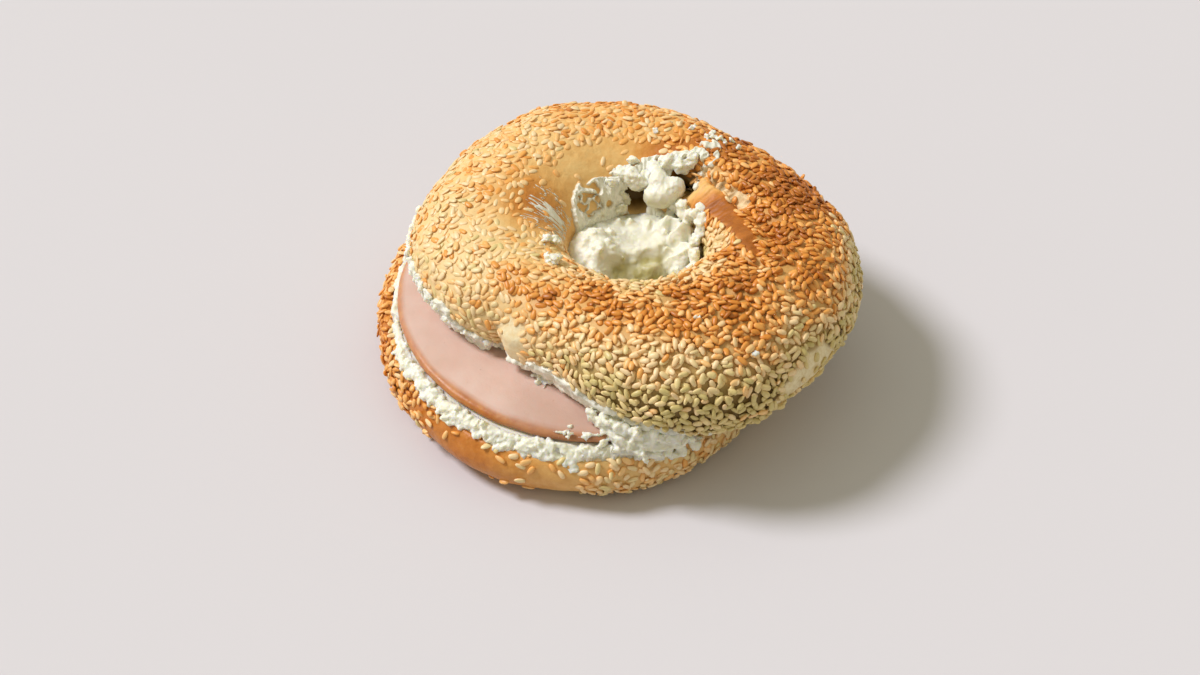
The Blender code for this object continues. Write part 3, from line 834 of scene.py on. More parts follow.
def upper_toast(points):
    """How toasted the seeds are at points of the upper crust, from 0 to 1."""
    x, y, angle, _ = plan_of(points)
    left = fade(135.0 - abs(degrees_off(angle, 130.0)), 30.0)
    # the sides near the cut get the lowest toast, which the colour ramps turn into painted shade
    side = SHADED_SIDE_TOAST + (PLAIN_TOAST - 0.03 - SHADED_SIDE_TOAST) * left
    plain = PLAIN_TOAST - 0.01 * left - 0.07 * (1.0 - left) * fade(36.0 - y, 10.0)
    top = fade(level_of(points)[..., 2] - 11.0 + 3.0 * left, 9.0)
    return np.clip(side + (plain - side + 0.95 * spots(x, y, TOASTED)) * top, 0.0, 1.0)


def smooth_lap(x, y):
    """The bare, smooth crust of the rope's end, from 0 to 1."""
    first_y, last_y = LAP_CREST[0][1], LAP_CREST[-1][1]
    share = np.clip((first_y - y) / (first_y - last_y), 0.0, 1.0)
    wide = LAP_SMOOTH[0] + (LAP_SMOOTH[1] - LAP_SMOOTH[0]) * share
    wide = wide * (1.0 + 0.28 * flat_noise(x, y, 3.4, 57.0)) + 0.5 * flat_noise(x, y, 1.5, 61.0)
    return fade(wide - line_distance(x, y, LAP_CREST), 1.5)


def torn_crust(x, y):
    """The rough crumb beside the hole where the crust has torn, from 0 to 1."""
    return fade(TORN_HALF_WIDTH + 0.8 - line_distance(x, y, TORN_LINE), 1.6)


def in_hollows(points, reach, soft):
    """How deep in each of the gaps behind the cream the upper crust's points are, from 0 to 1."""
    level = level_of(points)
    return [fade(reach - np.linalg.norm(level - at, axis=-1) / wide, soft) for at, wide, _ in HOLLOWS]


def hollow_depth(points):
    return np.maximum.reduce(in_hollows(points, 1.3, 0.6))


def glossy_area(points):
    """The smooth stretch behind and left of the hole, where the seeds have come off."""
    _, _, angle, radius = plan_of(points)
    reach = 34.4 + bumps(angle, (190.0, 14.0, -5.0), (70.0, 12.0, -4.0))
    reach = reach + 2.0 * noise_of(points, 6.0, 13.0) + 1.1 * noise_of(points, 2.4, 15.0)
    span = fade(degrees_off(angle, 54.0) + 8.0, 18.0)
    span = span * fade(192.0 - degrees_off(angle, 0.0) % 360.0, 16.0)
    return fade(reach - radius, 3.0) * span


def upper_bare(points):
    """How bare of seeds the upper crust is at points from its middle, from 0 to 1."""
    x, y, angle, radius = plan_of(points)
    z = level_of(points)[..., 2]
    side_top = between(BARE_SIDE, direction(angle))
    left_of_hole = 0.985 * bumps(angle, (181.0, 25.0, 1.0)) * fade(44.5 - radius, 9.0)
    inside = fade(UPPER_HOLE + 3.4 - radius, 2.5) * (1.0 - 0.9 * bumps(angle, (325.0, 34.0, 1.0)))
    low_side = fade(side_top - z + 2.4 * noise_of(points, 3.6, 19.0), 1.3)
    bare = np.maximum.reduce([
        np.minimum(1.3 * glossy_area(points), 0.9965),
        left_of_hole * (1.0 + 0.35 * noise_of(points, 5.0, 13.0)),
        1.3 * smooth_lap(x, y) * fade(z - LAP_FOOT, 4.0),
        inside,
        low_side * (0.993 - 0.25 * fade(4.0 - z, 1.5)),
        1.3 * bumps(angle, (LOBE_WAY, 6.0, 1.0)) * fade(16.0 - z, 3.0),
        1.2 * torn_crust(x, y) * (0.80 + 0.5 * noise_of(points, 2.6, 67.0)),
        sum(1.1 * np.exp(-((line_distance(x, y, line) / wide) ** 2)) for line, _, wide in CREASES),
        spots(x, y, BARE_PATCHES),
        fade(0.6 - z, 0.5),
        0.42 * fade(noise_of(points, 5.0, 17.0) - 0.10, 0.3),
        1.1 * fade(between(EDGE_REACH, direction(angle)) - z + 0.3, 1.0),
        1.4 * hollow_depth(points),
    ])
    return np.clip(bare, 0.0, 1.0)


def upper_relief(points):
    """How far the fine form of the upper crust rises over the solid's, in mm."""
    x, y, angle, _ = plan_of(points)
    z = level_of(points)[..., 2]
    lap = smooth_lap(x, y)
    relief = sum(height * noise_of(points, wave) for wave, height in SKIN_WAVES)
    relief = relief * (1.0 - 0.6 * np.maximum(0.5 * lap, glossy_area(points)))
    relief = relief + bumps(angle, (LOBE_WAY, 5.0, 1.5), (220.0, 2.2, -0.8)) * fade(14.0 - z, 5.0)
    for line, depth, wide in CREASES:
        relief = relief - depth * np.exp(-((line_distance(x, y, line) / wide) ** 2))
    crumb = 1.2 * noise_of(points, 3.0, 5.0) + abs(noise_of(points, 1.6, 9.0)) * 1.8 - 1.5
    relief = relief + TORN_ROUGHNESS * torn_crust(x, y) * (1.0 - lap) * crumb
    beside = line_distance(x, y, LAP_CREST) - LAP_SMOOTH[0] - 0.6
    relief = relief - 0.6 * np.exp(-((beside / 1.1) ** 2)) * fade(x - 15.0, 4.0)
    along = (x - LAP_START[0]) * 0.41 - (y - LAP_START[1]) * 0.91
    wrinkles = np.sin(along * math.tau / 2.1 + 3.0 * noise_of(points, 3.0)) * 0.14
    wrinkles = wrinkles + 0.35 * noise_of(points, 3.2, 81.0)
    return (relief + wrinkles * lap) * fade(z, 3.0)


def make_upper_skin():
    rim = UPPER_RIM_TURN
    turns = section_turns((-rim, 180 + rim, UPPER_STEPS[0]), (180 + rim, 360 - rim, UPPER_STEPS[1]))
    skin = Skin(upper_point, UPPER_ROWS, turns, UPPER_MIDDLE)
    skin.raise_by(upper_relief(skin.points))
    deep = in_hollows(skin.flat_points, 1.25, 0.7)
    skin.raise_by(-np.maximum.reduce([depth * share for (_, _, depth), share in zip(HOLLOWS, deep)]))
    return skin


def lower_bare(points):
    """How bare of seeds the lower crust is at points from its middle, from 0 to 1."""
    _, _, angle, radius = plan_of(points)
    z = points[..., 2]
    front = fade(32.0 - abs(degrees_off(angle, 246.0)), 11.0)
    band = fade(12.6 - z, 2.0)
    clumps = fade(noise_of(points, 7.0, 3.0) + 0.15, 0.5)
    return np.maximum.reduce([
        np.minimum(front * np.maximum(band, 1.0 - 0.5 * clumps), 0.995),
        0.3 * fade(noise_of(points, 5.0, 17.0) - 0.1, 0.3),
        fade(lower_rim(angle) - 0.6 - radius, 0.4) * fade(z - 12.0, 1.0),
        fade(34.0 - radius, 4.0),
        fade(2.4 - z, 1.0),
    ])


def make_lower_skin():
    rim, base = LOWER_RIM_TURN, LOWER_BASE_TURN
    stops = (-base, rim, 180 - rim, 180 + base, 360 - base)
    turns = section_turns(*zip(stops, stops[1:], LOWER_STEPS))
    skin = Skin(lower_point, LOWER_ROWS, turns, LOWER_MIDDLE)
    z = skin.points[..., 2]
    side = fade(z, 1.5) * fade(cut_face(LOWER_MIDDLE[0] + skin.points[..., 0]) - z, 0.8)
    relief = sum(height * noise_of(skin.points, wave, 4.0) for wave, height in SKIN_WAVES)
    skin.raise_by(relief * side)
    curl = 2.3 * bumps(skin.angles[:, None], (190.0, 24.0, 1.0))
    curl = curl * np.exp(-(((np.degrees(turns)[None, :] - 29.0) / 7.0) ** 2))
    skin.raise_by(curl * (1.0 + 0.5 * noise_of(skin.points, 4.0, 6.0)))
    return skin


def lower_fields(points):
    """How toasted, glossy and pale the lower crust is at points from its middle, and how much painted shade
    darkens it, each 0 to 1.
    """
    x, _, angle, _ = plan_of(points)
    z = points[..., 2]
    front = smooth_step(1.6 - abs(degrees_off(angle, 240.0)) / 36.0)
    past = degrees_off(angle, 232.0)
    right = fade(past, 48.0) * fade(135.0 - past, 30.0)
    toast = 0.80 - 0.46 * right - 0.10 * fade(6.0 - z, 5.0)
    # a crack in the edge at the left front: browner there, and darkened with painted shade; the right, under
    # the upper half, gets a little painted shade too
    dark_crack = bumps(angle, (208.5, 5.0, 1.0)) * fade(z - 8.5, 3.0)
    dark_crack = dark_crack * smooth_step(0.7 + 1.2 * noise_of(points, 2.4, 71.0))
    deep = np.maximum(0.10 * right, 0.75 * dark_crack)
    return np.clip(toast + 0.30 * dark_crack, 0.0, 1.0), np.clip(0.9 * front, 0.0, 1.0), 0.0 * x, deep


def lower_toast(points):
    """How toasted the seeds are at points of the lower crust, from 0 to 1."""
    angle = np.arctan2(points[..., 1], points[..., 0])
    left = bumps(angle, (190.0, 32.0, 1.0))
    return np.clip(0.28 + 0.24 * left - 0.10 * bumps(angle, (330.0, 40.0, 1.0)), 0.0, 1.0)


def make_crust(name, skin, fields_at, slot, node):
    crust = new_mesh(name, skin.points, skin.faces(), skin.middle)
    toast, gloss, pale, deep = fields_at(skin.flat_points)
    give(crust, toast=toast, gloss=gloss, pale=pale, deep=deep)
    dress(crust, crust_finish(slot), slot, node)


# Sesame

def seed_pattern():
    """One seed, 1 long, wide and thick, its tip at +X: points, how much browner each is, and faces."""
    rings, sides = 4, 8
    points, browner = [(0.5, 0.0, 0.0)], [0.08]
    for ring in range(1, rings + 1):
        along = math.pi * ring / (rings + 1)
        reach = 0.5 * math.sin(along) ** 0.75 * (1.0 - 0.16 * math.cos(along))
        for side in range(sides):
            across = math.tau * side / sides
            points.append((0.5 * math.cos(along), reach * math.cos(across), reach * math.sin(across)))
            browner.append(0.03 - 0.07 * math.sin(across) + 0.03 * abs(math.cos(along)))
    points.append((-0.5, 0.0, 0.0))
    browner.append(0.05)
    faces = []
    for side in range(sides):
        following = (side + 1) % sides
        faces.append((0, 1 + side, 1 + following))
        last = 1 + (rings - 1) * sides
        faces.append((len(points) - 1, last + following, last + side))
        for ring in range(rings - 1):
            here, there = 1 + ring * sides, 1 + (ring + 1) * sides
            faces.append((here + side, there + side, there + following))
            faces.append((here + side, there + following, here + following))
    return np.array(points), np.array(browner), np.array(faces)


def scatter(skin, bare, wanted, draw):
    """Places for seeds on a skin that don't cross: (points, normals, headings)."""
    chances = skin.areas() * (1.0 - bare)
    tries = wanted * TRIES_PER_SEED
    cells = draw.choice(chances.size, size=tries, p=(chances / chances.sum()).ravel())
    row, column = np.divmod(cells, chances.shape[1])
    points, normals = skin.at(row + draw.random(tries), column + draw.random(tries))
    flow = 2.2 * noise_of(points, 16.0, 7.0) + draw.normal(0.0, 0.9, tries)
    level = unit(np.cross(normals, (0.0, 0.0, 1.0)) + 1e-6)
    headings = level * np.cos(flow)[:, None] + np.cross(normals, level) * np.sin(flow)[:, None]
    discs = points[:, None, :] + headings[:, None, :] * np.array(SEED_DISCS)[None, :, None]
    taken, kept = {}, []
    around = [(i, j, k) for i in (-1, 0, 1) for j in (-1, 0, 1) for k in (-1, 0, 1)]
    for index, own in enumerate(discs.tolist()):
        keys = [tuple(int(value // SEED_APART) for value in disc) for disc in own]
        if all(
            math.dist(disc, other) > SEED_APART
            for disc, key in zip(own, keys)
            for step in around
            for other in taken.get((key[0] + step[0], key[1] + step[1], key[2] + step[2]), ())
        ):
            kept.append(index)
            for disc, key in zip(own, keys):
                taken.setdefault(key, []).append(disc)
        if len(kept) == wanted:
            break
    return points[kept], normals[kept], headings[kept]


def seed_toast(points, toast_at, draw):
    """How toasted each seed is: as the crust there, with some difference from seed to seed."""
    count = len(points)
    toast = toast_at(points)
    patches = 0.24 * noise_of(points, 4.0, 21.0)
    toast = toast + (patches + draw.normal(0.0, 0.12, count)) * (0.34 + 1.2 * toast)
    return toast + 0.20 * (draw.random(count) < 0.10)


def seed_shapes(normals, headings, wild, draw):
    """Each seed's length, width and thickness as vectors, more tilted where the seeds lie wild."""
    count = len(wild)
    odd = (draw.random(count) < 0.10 * wild)[:, None] * draw.normal(0.0, 0.7, (count, 3))
    up = unit(normals + draw.normal(0.0, 1.0, (count, 3)) * (0.06 + 0.18 * wild)[:, None] + odd)
    along = headings + normals * draw.normal(0.0, 0.04 + 0.15 * wild, count)[:, None]
    along = unit(along - up * np.sum(along * up, axis=1, keepdims=True))
    size = draw.normal(1.0, 0.10, (count, 3)).clip(0.76, 1.24) * (SEED_LENGTH, SEED_WIDTH, SEED_THICKNESS)
    size[:, 2] *= 0.68 + 0.34 * wild
    return np.stack((along, np.cross(up, along), up), axis=1) * size[..., None]


def make_seeds(names, skin, bare, wanted, toast_at, wild_at, finish, slot, node, draw):
    """All seeds of a skin, in layers, sorted by how toasted they are into one piece for each name."""
    sets = []
    calm = 1.0 - wild_at(skin.flat_points)
    for layer, (count, lift) in enumerate(zip(wanted, SEED_LIFTS)):
        chance = np.clip(bare + layer * (0.1 + 0.75 * calm), 0.0, 1.0)
        points, normals, headings = scatter(skin, chance, count, draw)
        sets.append((points, normals, headings, lift + draw.uniform(-0.10, 0.12, len(points))))
    points, normals, headings, lift = (np.concatenate(parts) for parts in zip(*sets))
    wild = wild_at(points)
    toast = seed_toast(points, toast_at, draw)
    shapes = seed_shapes(normals, headings, wild, draw)
    middles = points + normals * (lift * (0.6 + 0.4 * wild) - 0.17 + 0.43 * wild)[:, None] + skin.middle
    pattern, browner, faces = seed_pattern()
    seeds = middles[:, None, :] + np.einsum("pk,nkc->npc", pattern, shapes)
    inside = (seeds[..., 2] > 0.2).all(axis=1) & (seeds[..., 2] < HIGHEST_SEED).all(axis=1)
    shades = toast[:, None] + browner[None, :] * (0.5 + toast)[:, None]
    edges = np.quantile(toast, np.linspace(0.0, 1.0, len(names) + 1))
    for number, name in enumerate(names):
        last = number == len(names) - 1
        chosen = np.flatnonzero(inside & (toast >= edges[number]) & ((toast < edges[number + 1]) | last))
        own = faces[None] + (np.arange(len(chosen)) * len(pattern))[:, None, None]
        piece = new_mesh(name, seeds[chosen], own.reshape(-1, 3))
        give(piece, toast=np.clip(shades[chosen], 0.0, 1.0))
        dress(piece, finish, slot, node)


def upper_wild(points):
    """How much the seeds of the upper crust stand up and cross, from 0 to 1."""
    angle = np.arctan2(points[..., 1], points[..., 0])
    return 0.06 + 0.94 * np.maximum(bumps(angle, (292.0, 60.0, 1.0)), 0.7 * bumps(angle, (10.0, 46.0, 1.0)))


def lower_wild(points):
    return np.full(points.shape[:-1], 0.6)


# Ham

def make_ham(finish):
    """The slice: a flat disc with a soft rim, a little wavy."""
    angle = round_angles(HAM_ROWS)
    rim = np.hypot(HAM_HALF_WIDTH * np.cos(angle), HAM_HALF_DEPTH * np.sin(angle))
    rim = rim - bumps(angle, (240.0, 42.0, 1.1))
    turn = np.radians(np.linspace(-90.0, 90.0, 17))[None, :]
    bend = np.sign(np.sin(turn)) * np.abs(np.sin(turn)) ** 0.8
    side_radius = rim - HAM_EDGE + HAM_EDGE * np.cos(turn)
    side_height = HAM_THICKNESS / 2.0 * (1.0 + bend)
    rings = np.array(HAM_RINGS)[None, :]
    inner = rim - HAM_EDGE
    radius = np.concatenate((inner * rings[:, ::-1], side_radius, inner * rings), axis=1)
    flat = np.ones((HAM_ROWS, len(HAM_RINGS)))
    height = np.concatenate((flat * 0.0, side_height + 0.0 * radius[:, :1], flat * HAM_THICKNESS), axis=1)
    margin = rim - radius
    droop = bumps(angle, (262.0, 40.0, 0.7)) * fade(5.0 - margin, 5.0)
    height = height - droop * fade(height, HAM_THICKNESS)
    x, y = around(radius, angle)
    points = joined(x, y, ham_base(HAM_MIDDLE[0] + x) + height)
    near_rim = fade(radius - rim + 14.0, 14.0)
    wave = flat_noise(x, y, 15.0)
    points[..., 2] += near_rim * (0.30 * wave + 0.15)
    out = 1.0 + 0.35 * flat_noise(x, y, 9.0, 3.0) * near_rim / radius
    points[..., :2] *= out[..., None]
    ham = new_mesh("ham_dressed", points, capped_faces(*points.shape[:2]), HAM_MIDDLE)
    near_front = bumps(angle, (254.0, 42.0, 1.0))
    wide = (1.9 + 1.5 * near_front) * (1.0 + 0.3 * wave)
    rind = fade(wide - margin, 0.75 * wide) * (height > 0.2) * (0.72 + 0.28 * near_front)
    # painted shade on the ham near its rim, from the right of the front round to the back, under the upper
    # half
    moist = 0.42 * fade(degrees_off(angle, 244.0) + 6.0, 14.0)
    moist = moist * fade(22.0 - margin, 14.0)
    give(ham, rind=rind, moist=moist)
    dress(ham, finish, "ham", "ham_slice")


# Cream cheese

def blob_arrays(places, draw=None):
    """Points and faces of balls at places of (middle, radii). With draw they are torn, turned lumps."""
    ball = bmesh.new()
    bmesh.ops.create_icosphere(ball, subdivisions=2, radius=1.0)
    ball.verts.index_update()
    points = np.array([vertex.co for vertex in ball.verts])
    faces = np.array([tuple(corner.index for corner in face.verts) for face in ball.faces])
    ball.free()
    middles = np.array([place[0] for place in places])
    radii = np.array([place[1] for place in places])
    shapes = points[None] * radii[:, None, :]
    if draw is not None:
        shapes = shapes * draw.uniform(0.62, 1.30, shapes.shape[:2])[..., None]
        axes = np.eye(3) + draw.normal(0.0, 0.55, (len(places), 3, 3)) * (1.0, 1.0, 0.5)
        turns = np.linalg.qr(axes)[0]
        turns = turns * np.sign(np.linalg.det(turns))[:, None, None]
        shapes = np.einsum("nij,npj->npi", turns, shapes)
    made = middles[:, None, :] + shapes
    own = faces[None] + (np.arange(len(places)) * len(points))[:, None, None]
    return made.reshape(-1, 3), own.reshape(-1, 3)


def join_lumps(points, faces, places, draw):
    """Points and faces of a closed form with torn lumps added to it."""
    points = points.reshape(-1, 3)
    lump_points, lump_faces = blob_arrays(places, draw)
    return np.concatenate((points, lump_points)), faces + (lump_faces + len(points)).tolist()


def melt(name, points, faces, voxel, soften):
    """One closed skin round a heap of closed shapes, in mm: (points, normals, faces)."""
    heap = mesh_object(name, points, faces)
    remesh = heap.modifiers.new("melt", "REMESH")
    remesh.mode = "VOXEL"
    remesh.voxel_size = voxel
    smooth = heap.modifiers.new("soften", "SMOOTH")
    smooth.iterations = soften
    graph = bpy.context.evaluated_depsgraph_get()
    melted = bpy.data.meshes.new_from_object(heap.evaluated_get(graph))
    bpy.data.objects.remove(heap)
    count = len(melted.vertices)
    found, normals = np.zeros(count * 3), np.zeros(count * 3)
    melted.vertices.foreach_get("co", found)
    melted.vertex_normals.foreach_get("vector", normals)
    corners = [tuple(face.vertices) for face in melted.polygons]
    bpy.data.meshes.remove(melted)
    return found.reshape(-1, 3), normals.reshape(-1, 3), corners


def make_cream(name, points, faces, voxel, middle, finish, soften, curds, torn, whey_at=None):
    """A piece of cream cheese melted from closed shapes, with soft curds and torn ridges on its surface."""
    found, normals, corners = melt(name, points, faces, voxel, soften)
    ridges = (1.0 - abs(noise_of(found, 2.7, 6.0))) ** 5 + 0.8 * (1.0 - abs(noise_of(found, 1.5, 8.0))) ** 5
    rough = curds * fractal_of(found, 3.0, 2.0) + torn * (ridges - 0.5)
    found = found + normals * rough[:, None]
    cream = new_mesh(name, found, corners, middle)
    # the field of painted shade, which also smooths the cream's grain
    if whey_at:
        give(cream, whey=whey_at(found))
    dress(cream, finish, "cream_cheese")


def mound_ledge(x, y):
    """How far a place is behind the ledge of the heap, in mm."""
    return y - MOUND_LEDGE[0] - MOUND_LEDGE[1] * x + 2.4 * flat_noise(x, y, 4.6, 3.0)


def mound_height(x, y):
    """Height of the heap: a fluffy lump at the left, a smooth middle that falls to the front, and curds."""
    bent_x, bent_y = x + 1.4 * flat_noise(x, y, 4.5, 11.0), y + 1.4 * flat_noise(x, y, 4.5, 15.0)
    behind = mound_ledge(x, y)
    height = MOUND_LEVEL + MOUND_DROP * (fade(behind, 2.0) - 1.0)
    height = height - MOUND_FALL * np.maximum(-behind, 0.0) + spots(bent_x, bent_y, MOUND_DETAIL)
    fluffy = fade(-4.5 - x, 4.0) * fade(y + 11.0, 3.0)
    height = height + fluffy * (0.9 * flat_noise(x, y, 3.0, 8.0) + 0.35 * flat_noise(x, y, 1.2, 9.0))
    lacy = fade(x - 5.5, 3.0)
    ridges = (1.0 - abs(flat_noise(x, y, 3.6, 18.0))) ** 4
    pores = fade(flat_noise(x, y, 3.0, 25.0) - 0.16, 0.18)
    height = height + lacy * (1.6 * ridges - 2.4 * pores + 0.3 * flat_noise(x, y, 1.2, 28.0))
    strokes = 0.24 * flat_noise(x / 2.0, y / 5.0, 1.0, 33.0) + 0.9 * flat_noise(x, y, 5.0, 1.0)
    strokes = strokes + 0.22 * flat_noise(x, y, 1.7, 5.0)
    return height + (1.0 - lacy) * (1.0 - fluffy) * strokes


def mound_whey(points):
    """How smooth the heap is, and how much painted shade, a darker yellow, lies on it: at the middle of its
    front, and over its ledge.
    """
    x, y = points[..., 0], points[..., 1]
    middle = fade(9.5 - abs(x + 0.5), 4.0)
    behind = mound_ledge(x, y)
    over_ledge = np.exp(-(((behind + 0.3) / 1.6) ** 2)) * fade(10.0 - abs(x - 2.0), 4.0)
    patchy = 0.85 + 0.6 * noise_of(points, 3.0, 39.0)
    whey = middle * (smooth_step(-behind / 3.5 + 0.25) + 0.10) * patchy
    return np.clip(whey + 0.4 * over_ledge, 0.0, 1.0)


def make_mound(finish, draw):
    """The cream heaped in the hole of the upper half."""
    angle = round_angles(MOUND_ROWS)
    share = np.linspace(0.03, 1.0, MOUND_COLUMNS)[None, :]
    radius = (ring_reach(upper_point, angle, 180.0) + 0.6) * share
    x, y = around(radius, angle)
    z = mound_height(x, y) + TILT * x - fade(share - 0.90, 0.10)
    top = joined(x, y, np.maximum(z, 1.5))
    floor_z = np.ones((MOUND_ROWS, 1))
    bottom = joined(x[:, -1:], y[:, -1:], floor_z)
    middle = joined(x[:, :1], y[:, :1], floor_z)
    points = np.concatenate((middle, bottom, top[:, ::-1]), axis=1)
    lumps = []
    for _ in range(MOUND_CURDS):
        at_x, at_y = draw.normal(-12.5, 3.0), draw.normal(1.5, 4.5)
        if math.hypot(at_x, at_y) > 17.5:
            continue
        height = float(mound_height(np.array(at_x), np.array(at_y)))
        size = draw.uniform(0.6, 1.5)
        place = (at_x, at_y, height + draw.uniform(-0.6, 0.1))
        lumps.append((place, size * draw.uniform(0.7, 1.3, 3)))
    for place, radii in HEAP_LUMPS:
        for _ in range(HEAP_PARTS):
            offset = draw.normal(0.0, 0.45, 3) * radii + (0.0, 0.0, TILT * place[0])
            lumps.append((offset + place, draw.uniform(0.5, 0.9, 3) * radii))
    points, faces = join_lumps(points, capped_faces(*points.shape[:2]), lumps, draw)
    make_cream("cream_mound", points, faces, MELT_FINE, UPPER_MIDDLE, finish, soften=2, curds=0.07,
               torn=0.16, whey_at=mound_whey)


def chunk_whey(points):
    """How much painted shade, a darker yellow, lies low on the lump that hangs over the heap and on the
    lumps round it, where they are also smoother.
    """
    return 0.40 * fade(18.0 - points[..., 2], 4.0)


def make_chunks(skin, finish, draw):
    """Cream on the back wall of the hole: the smooth lump that hangs there, and torn lumps round it."""
    for name, lumps, part_draw, (soften, curds, torn) in (
        ("cream_hanging", HANGING_LUMPS, None, (60, 0.14, 0.22)),
        ("cream_chunks", WALL_LUMPS, draw, (8, 0.30, 0.40)),
    ):
        places = []
        for place, lift, radii in lumps:
            point, normal = skin.near(place)
            places.append((point + normal * lift, radii))
        points, faces = blob_arrays(places, part_draw)
        make_cream(name, points, faces, MELT_FINE, skin.middle, finish, soften, curds, torn, chunk_whey)


def make_film(name, skin, angles, turns, thickness_at, finish, sheer=0.0):
    """Cream smeared over a crust: its skin again, raised by a thickness that is below 0 where it ends."""
    angle, turn = np.meshgrid(np.radians(angles), np.radians(turns), indexing="ij")
    row, column = skin.place_of(angle, turn)
    points, normals = skin.at(row, column)
    thickness = thickness_at(np.degrees(angle) % 360.0, np.degrees(turn), points)
    points = points + normals * thickness[..., None]
    shown = thickness > FILM_SHOWN
    faces = grid_faces(*points.shape[:2], False, False)
    faces = faces[shown.ravel()[faces].any(axis=1)]
    used, own = np.unique(faces, return_inverse=True)
    film = new_mesh(name, points.reshape(-1, 3)[used], own.reshape(faces.shape), skin.middle)
    give(film, sheer=sheer * fade(SHEER_BELOW - thickness.ravel()[used], SHEER_SOFT))
    dress(film, finish, "cream_cheese")
    return film


def wall_film(angle, turn, points):
    """Thickness of the cream that clings to the back wall of the hole and the crust above it."""
    crumbly = fade(64.0 - angle, 6.0)
    ragged = 8.0 * noise_of(points, 4.0, 11.0) + (4.0 + 3.0 * crumbly) * noise_of(points, 1.7, 4.0)
    inside = (turn - between(WALL_EDGE, angle) + ragged) / 2.5
    ends = np.minimum((angle - 46.0) / 3.0, (156.0 - angle) / 3.0)
    inside = np.minimum(inside, ends + 0.1 * ragged)
    for gap_angle, gap_turn, half_angle, half_turn in WALL_GAPS:
        away = np.hypot((angle - gap_angle) / half_angle, (turn - gap_turn) / half_turn)
        inside = np.minimum(inside, (away - 1.0) * 6.0 + 0.10 * ragged)
    before = upper_point(np.radians(angle), np.radians(turn))
    inside = np.minimum(inside, (0.35 - hollow_depth(before)) * 6.0 + 0.15 * ragged)
    holes = noise_of(points, 2.8, 20.0) + 0.42 - 0.30 * crumbly
    inside = np.minimum(inside, holes * 5.0)
    bubbles = np.hypot((angle - 134.0) / 11.0, (turn - 160.0) / 12.0) + 0.35 * noise_of(points, 2.2, 23.0)
    strands = fade(0.17 - abs(noise_of(points, 2.0, 27.0)), 0.09)
    inside = np.minimum(inside, np.maximum((bubbles - 0.8) * 5.0, 0.85 * strands))
    folds = (1.0 - abs(flat_noise(angle / 3.2, turn / 15.0, 1.0, 36.0))) ** 5
    thick_rim = np.exp(-(((inside - 1.4) / 1.1) ** 2))
    body = 0.42 + 1.1 * np.maximum(noise_of(points, 5.0, 30.0), 0.0) + 0.5 * folds + 0.45 * thick_rim
    body = body + 0.22 * noise_of(points, 1.6, 33.0) - 0.30 * crumbly
    return film_thickness(body, 0.15, inside)


def lip_smear(angle, turn, points):
    """Thickness of the cream pressed out along the cut edge of the upper half, at the front left."""
    z = level_of(points)[..., 2]
    reach = between(EDGE_REACH, angle) * (1.0 + 0.55 * noise_of(points, 4.0, 40.0))
    reach = reach + 1.3 * noise_of(points, 1.7, 43.0)
    gaps = 0.9 * fade(206.0 - angle, 10.0) * noise_of(points, 3.0, 47.0)
    body = 1.0 + 0.9 * noise_of(points, 2.6, 50.0) + 0.4 * noise_of(points, 1.1, 53.0)
    return film_thickness(body, 0.2, (reach - z) / 0.7 + 0.3 + gaps)


def film_thickness(body, least, inside):
    """A film's own thickness where it is, and a level below the crust where it isn't."""
    return -FILM_SUNK + (FILM_SUNK + np.maximum(body, least)) * smooth_step(inside)


def streak_film(angle, turn, points):
    """Thickness of the fine threads of cream drawn down the crust at the left of the hole."""
    threads = flat_noise(angle / 1.7, turn / 16.0, 1.0, 70.0)
    heart = smooth_step(1.35 - np.hypot((angle - 169.0) / 5.5, (turn - 142.0) / 15.0))
    line = fade(0.10 + 0.30 * heart - abs(threads), 0.08)
    patch = np.minimum((angle - 150.0) / 4.0, (188.0 - angle) / 4.0)
    patch = np.minimum(patch, np.minimum((turn - 112.0) / 8.0, (168.0 - turn) / 8.0))
    patch = smooth_step(patch + 1.2 * noise_of(points, 4.0, 75.0))
    return -0.4 + 0.60 * line * patch


def edge_curds(skin, draw):
    """Places for curds on the upper half's cut edge at the left, where they show past it."""
    places = []
    for _ in range(EDGE_CURD_COUNT):
        angle = draw.uniform(157.0, 217.0)
        turn = max(between(EDGE_CURDS, angle) - abs(draw.normal(0.0, 9.0)), -34.0)
        row, column = skin.place_of(np.array(math.radians(angle)), np.array(math.radians(turn)))
        point, normal = skin.at(row, column)
        size = draw.uniform(0.5, 1.15) * (1.0 + 0.5 * float(bumps(math.radians(angle), (164.0, 5.0, 1.0))))
        middle = point + normal * draw.uniform(0.2, 0.9)
        places.append((middle, size * draw.uniform(0.7, 1.3, 3)))
    return places


def rim_heap(angles, rim_at, height_at, sizes, spread, draw, count):
    """Places for curds along a rim: (middle, radii)."""
    places = []
    for _ in range(count):
        angle = math.radians(draw.uniform(*angles))
        size = draw.uniform(*sizes)
        out = draw.uniform(-0.6, 1.0) * spread
        radius = float(rim_at(angle)) + out
        height = float(height_at(radius * math.cos(angle))) - max(0.0, out) * 0.9 + draw.uniform(-0.4, 0.5)
        middle = (radius * math.cos(angle), radius * math.sin(angle), height)
        places.append((middle, size * draw.uniform(0.7, 1.3, 3)))
    return places


def band_plan(angle, rim, wave_height, width):
    """Distances from the middle, x and y of the five-sided section of a band inside a wavy rim."""
    rim = rim + wave_height * flat_noise(*around(rim, angle), 3.0, 2.0)
    inner = rim - width
    radius = np.concatenate((inner, rim - 0.4, rim, rim - 0.5, inner), axis=1)
    return radius, *around(radius, angle)


def band_points(x, y, base, top):
    share = np.array(BAND_HEIGHTS)[None, :]
    return joined(x, y, base * (1.0 - share) + top * share)


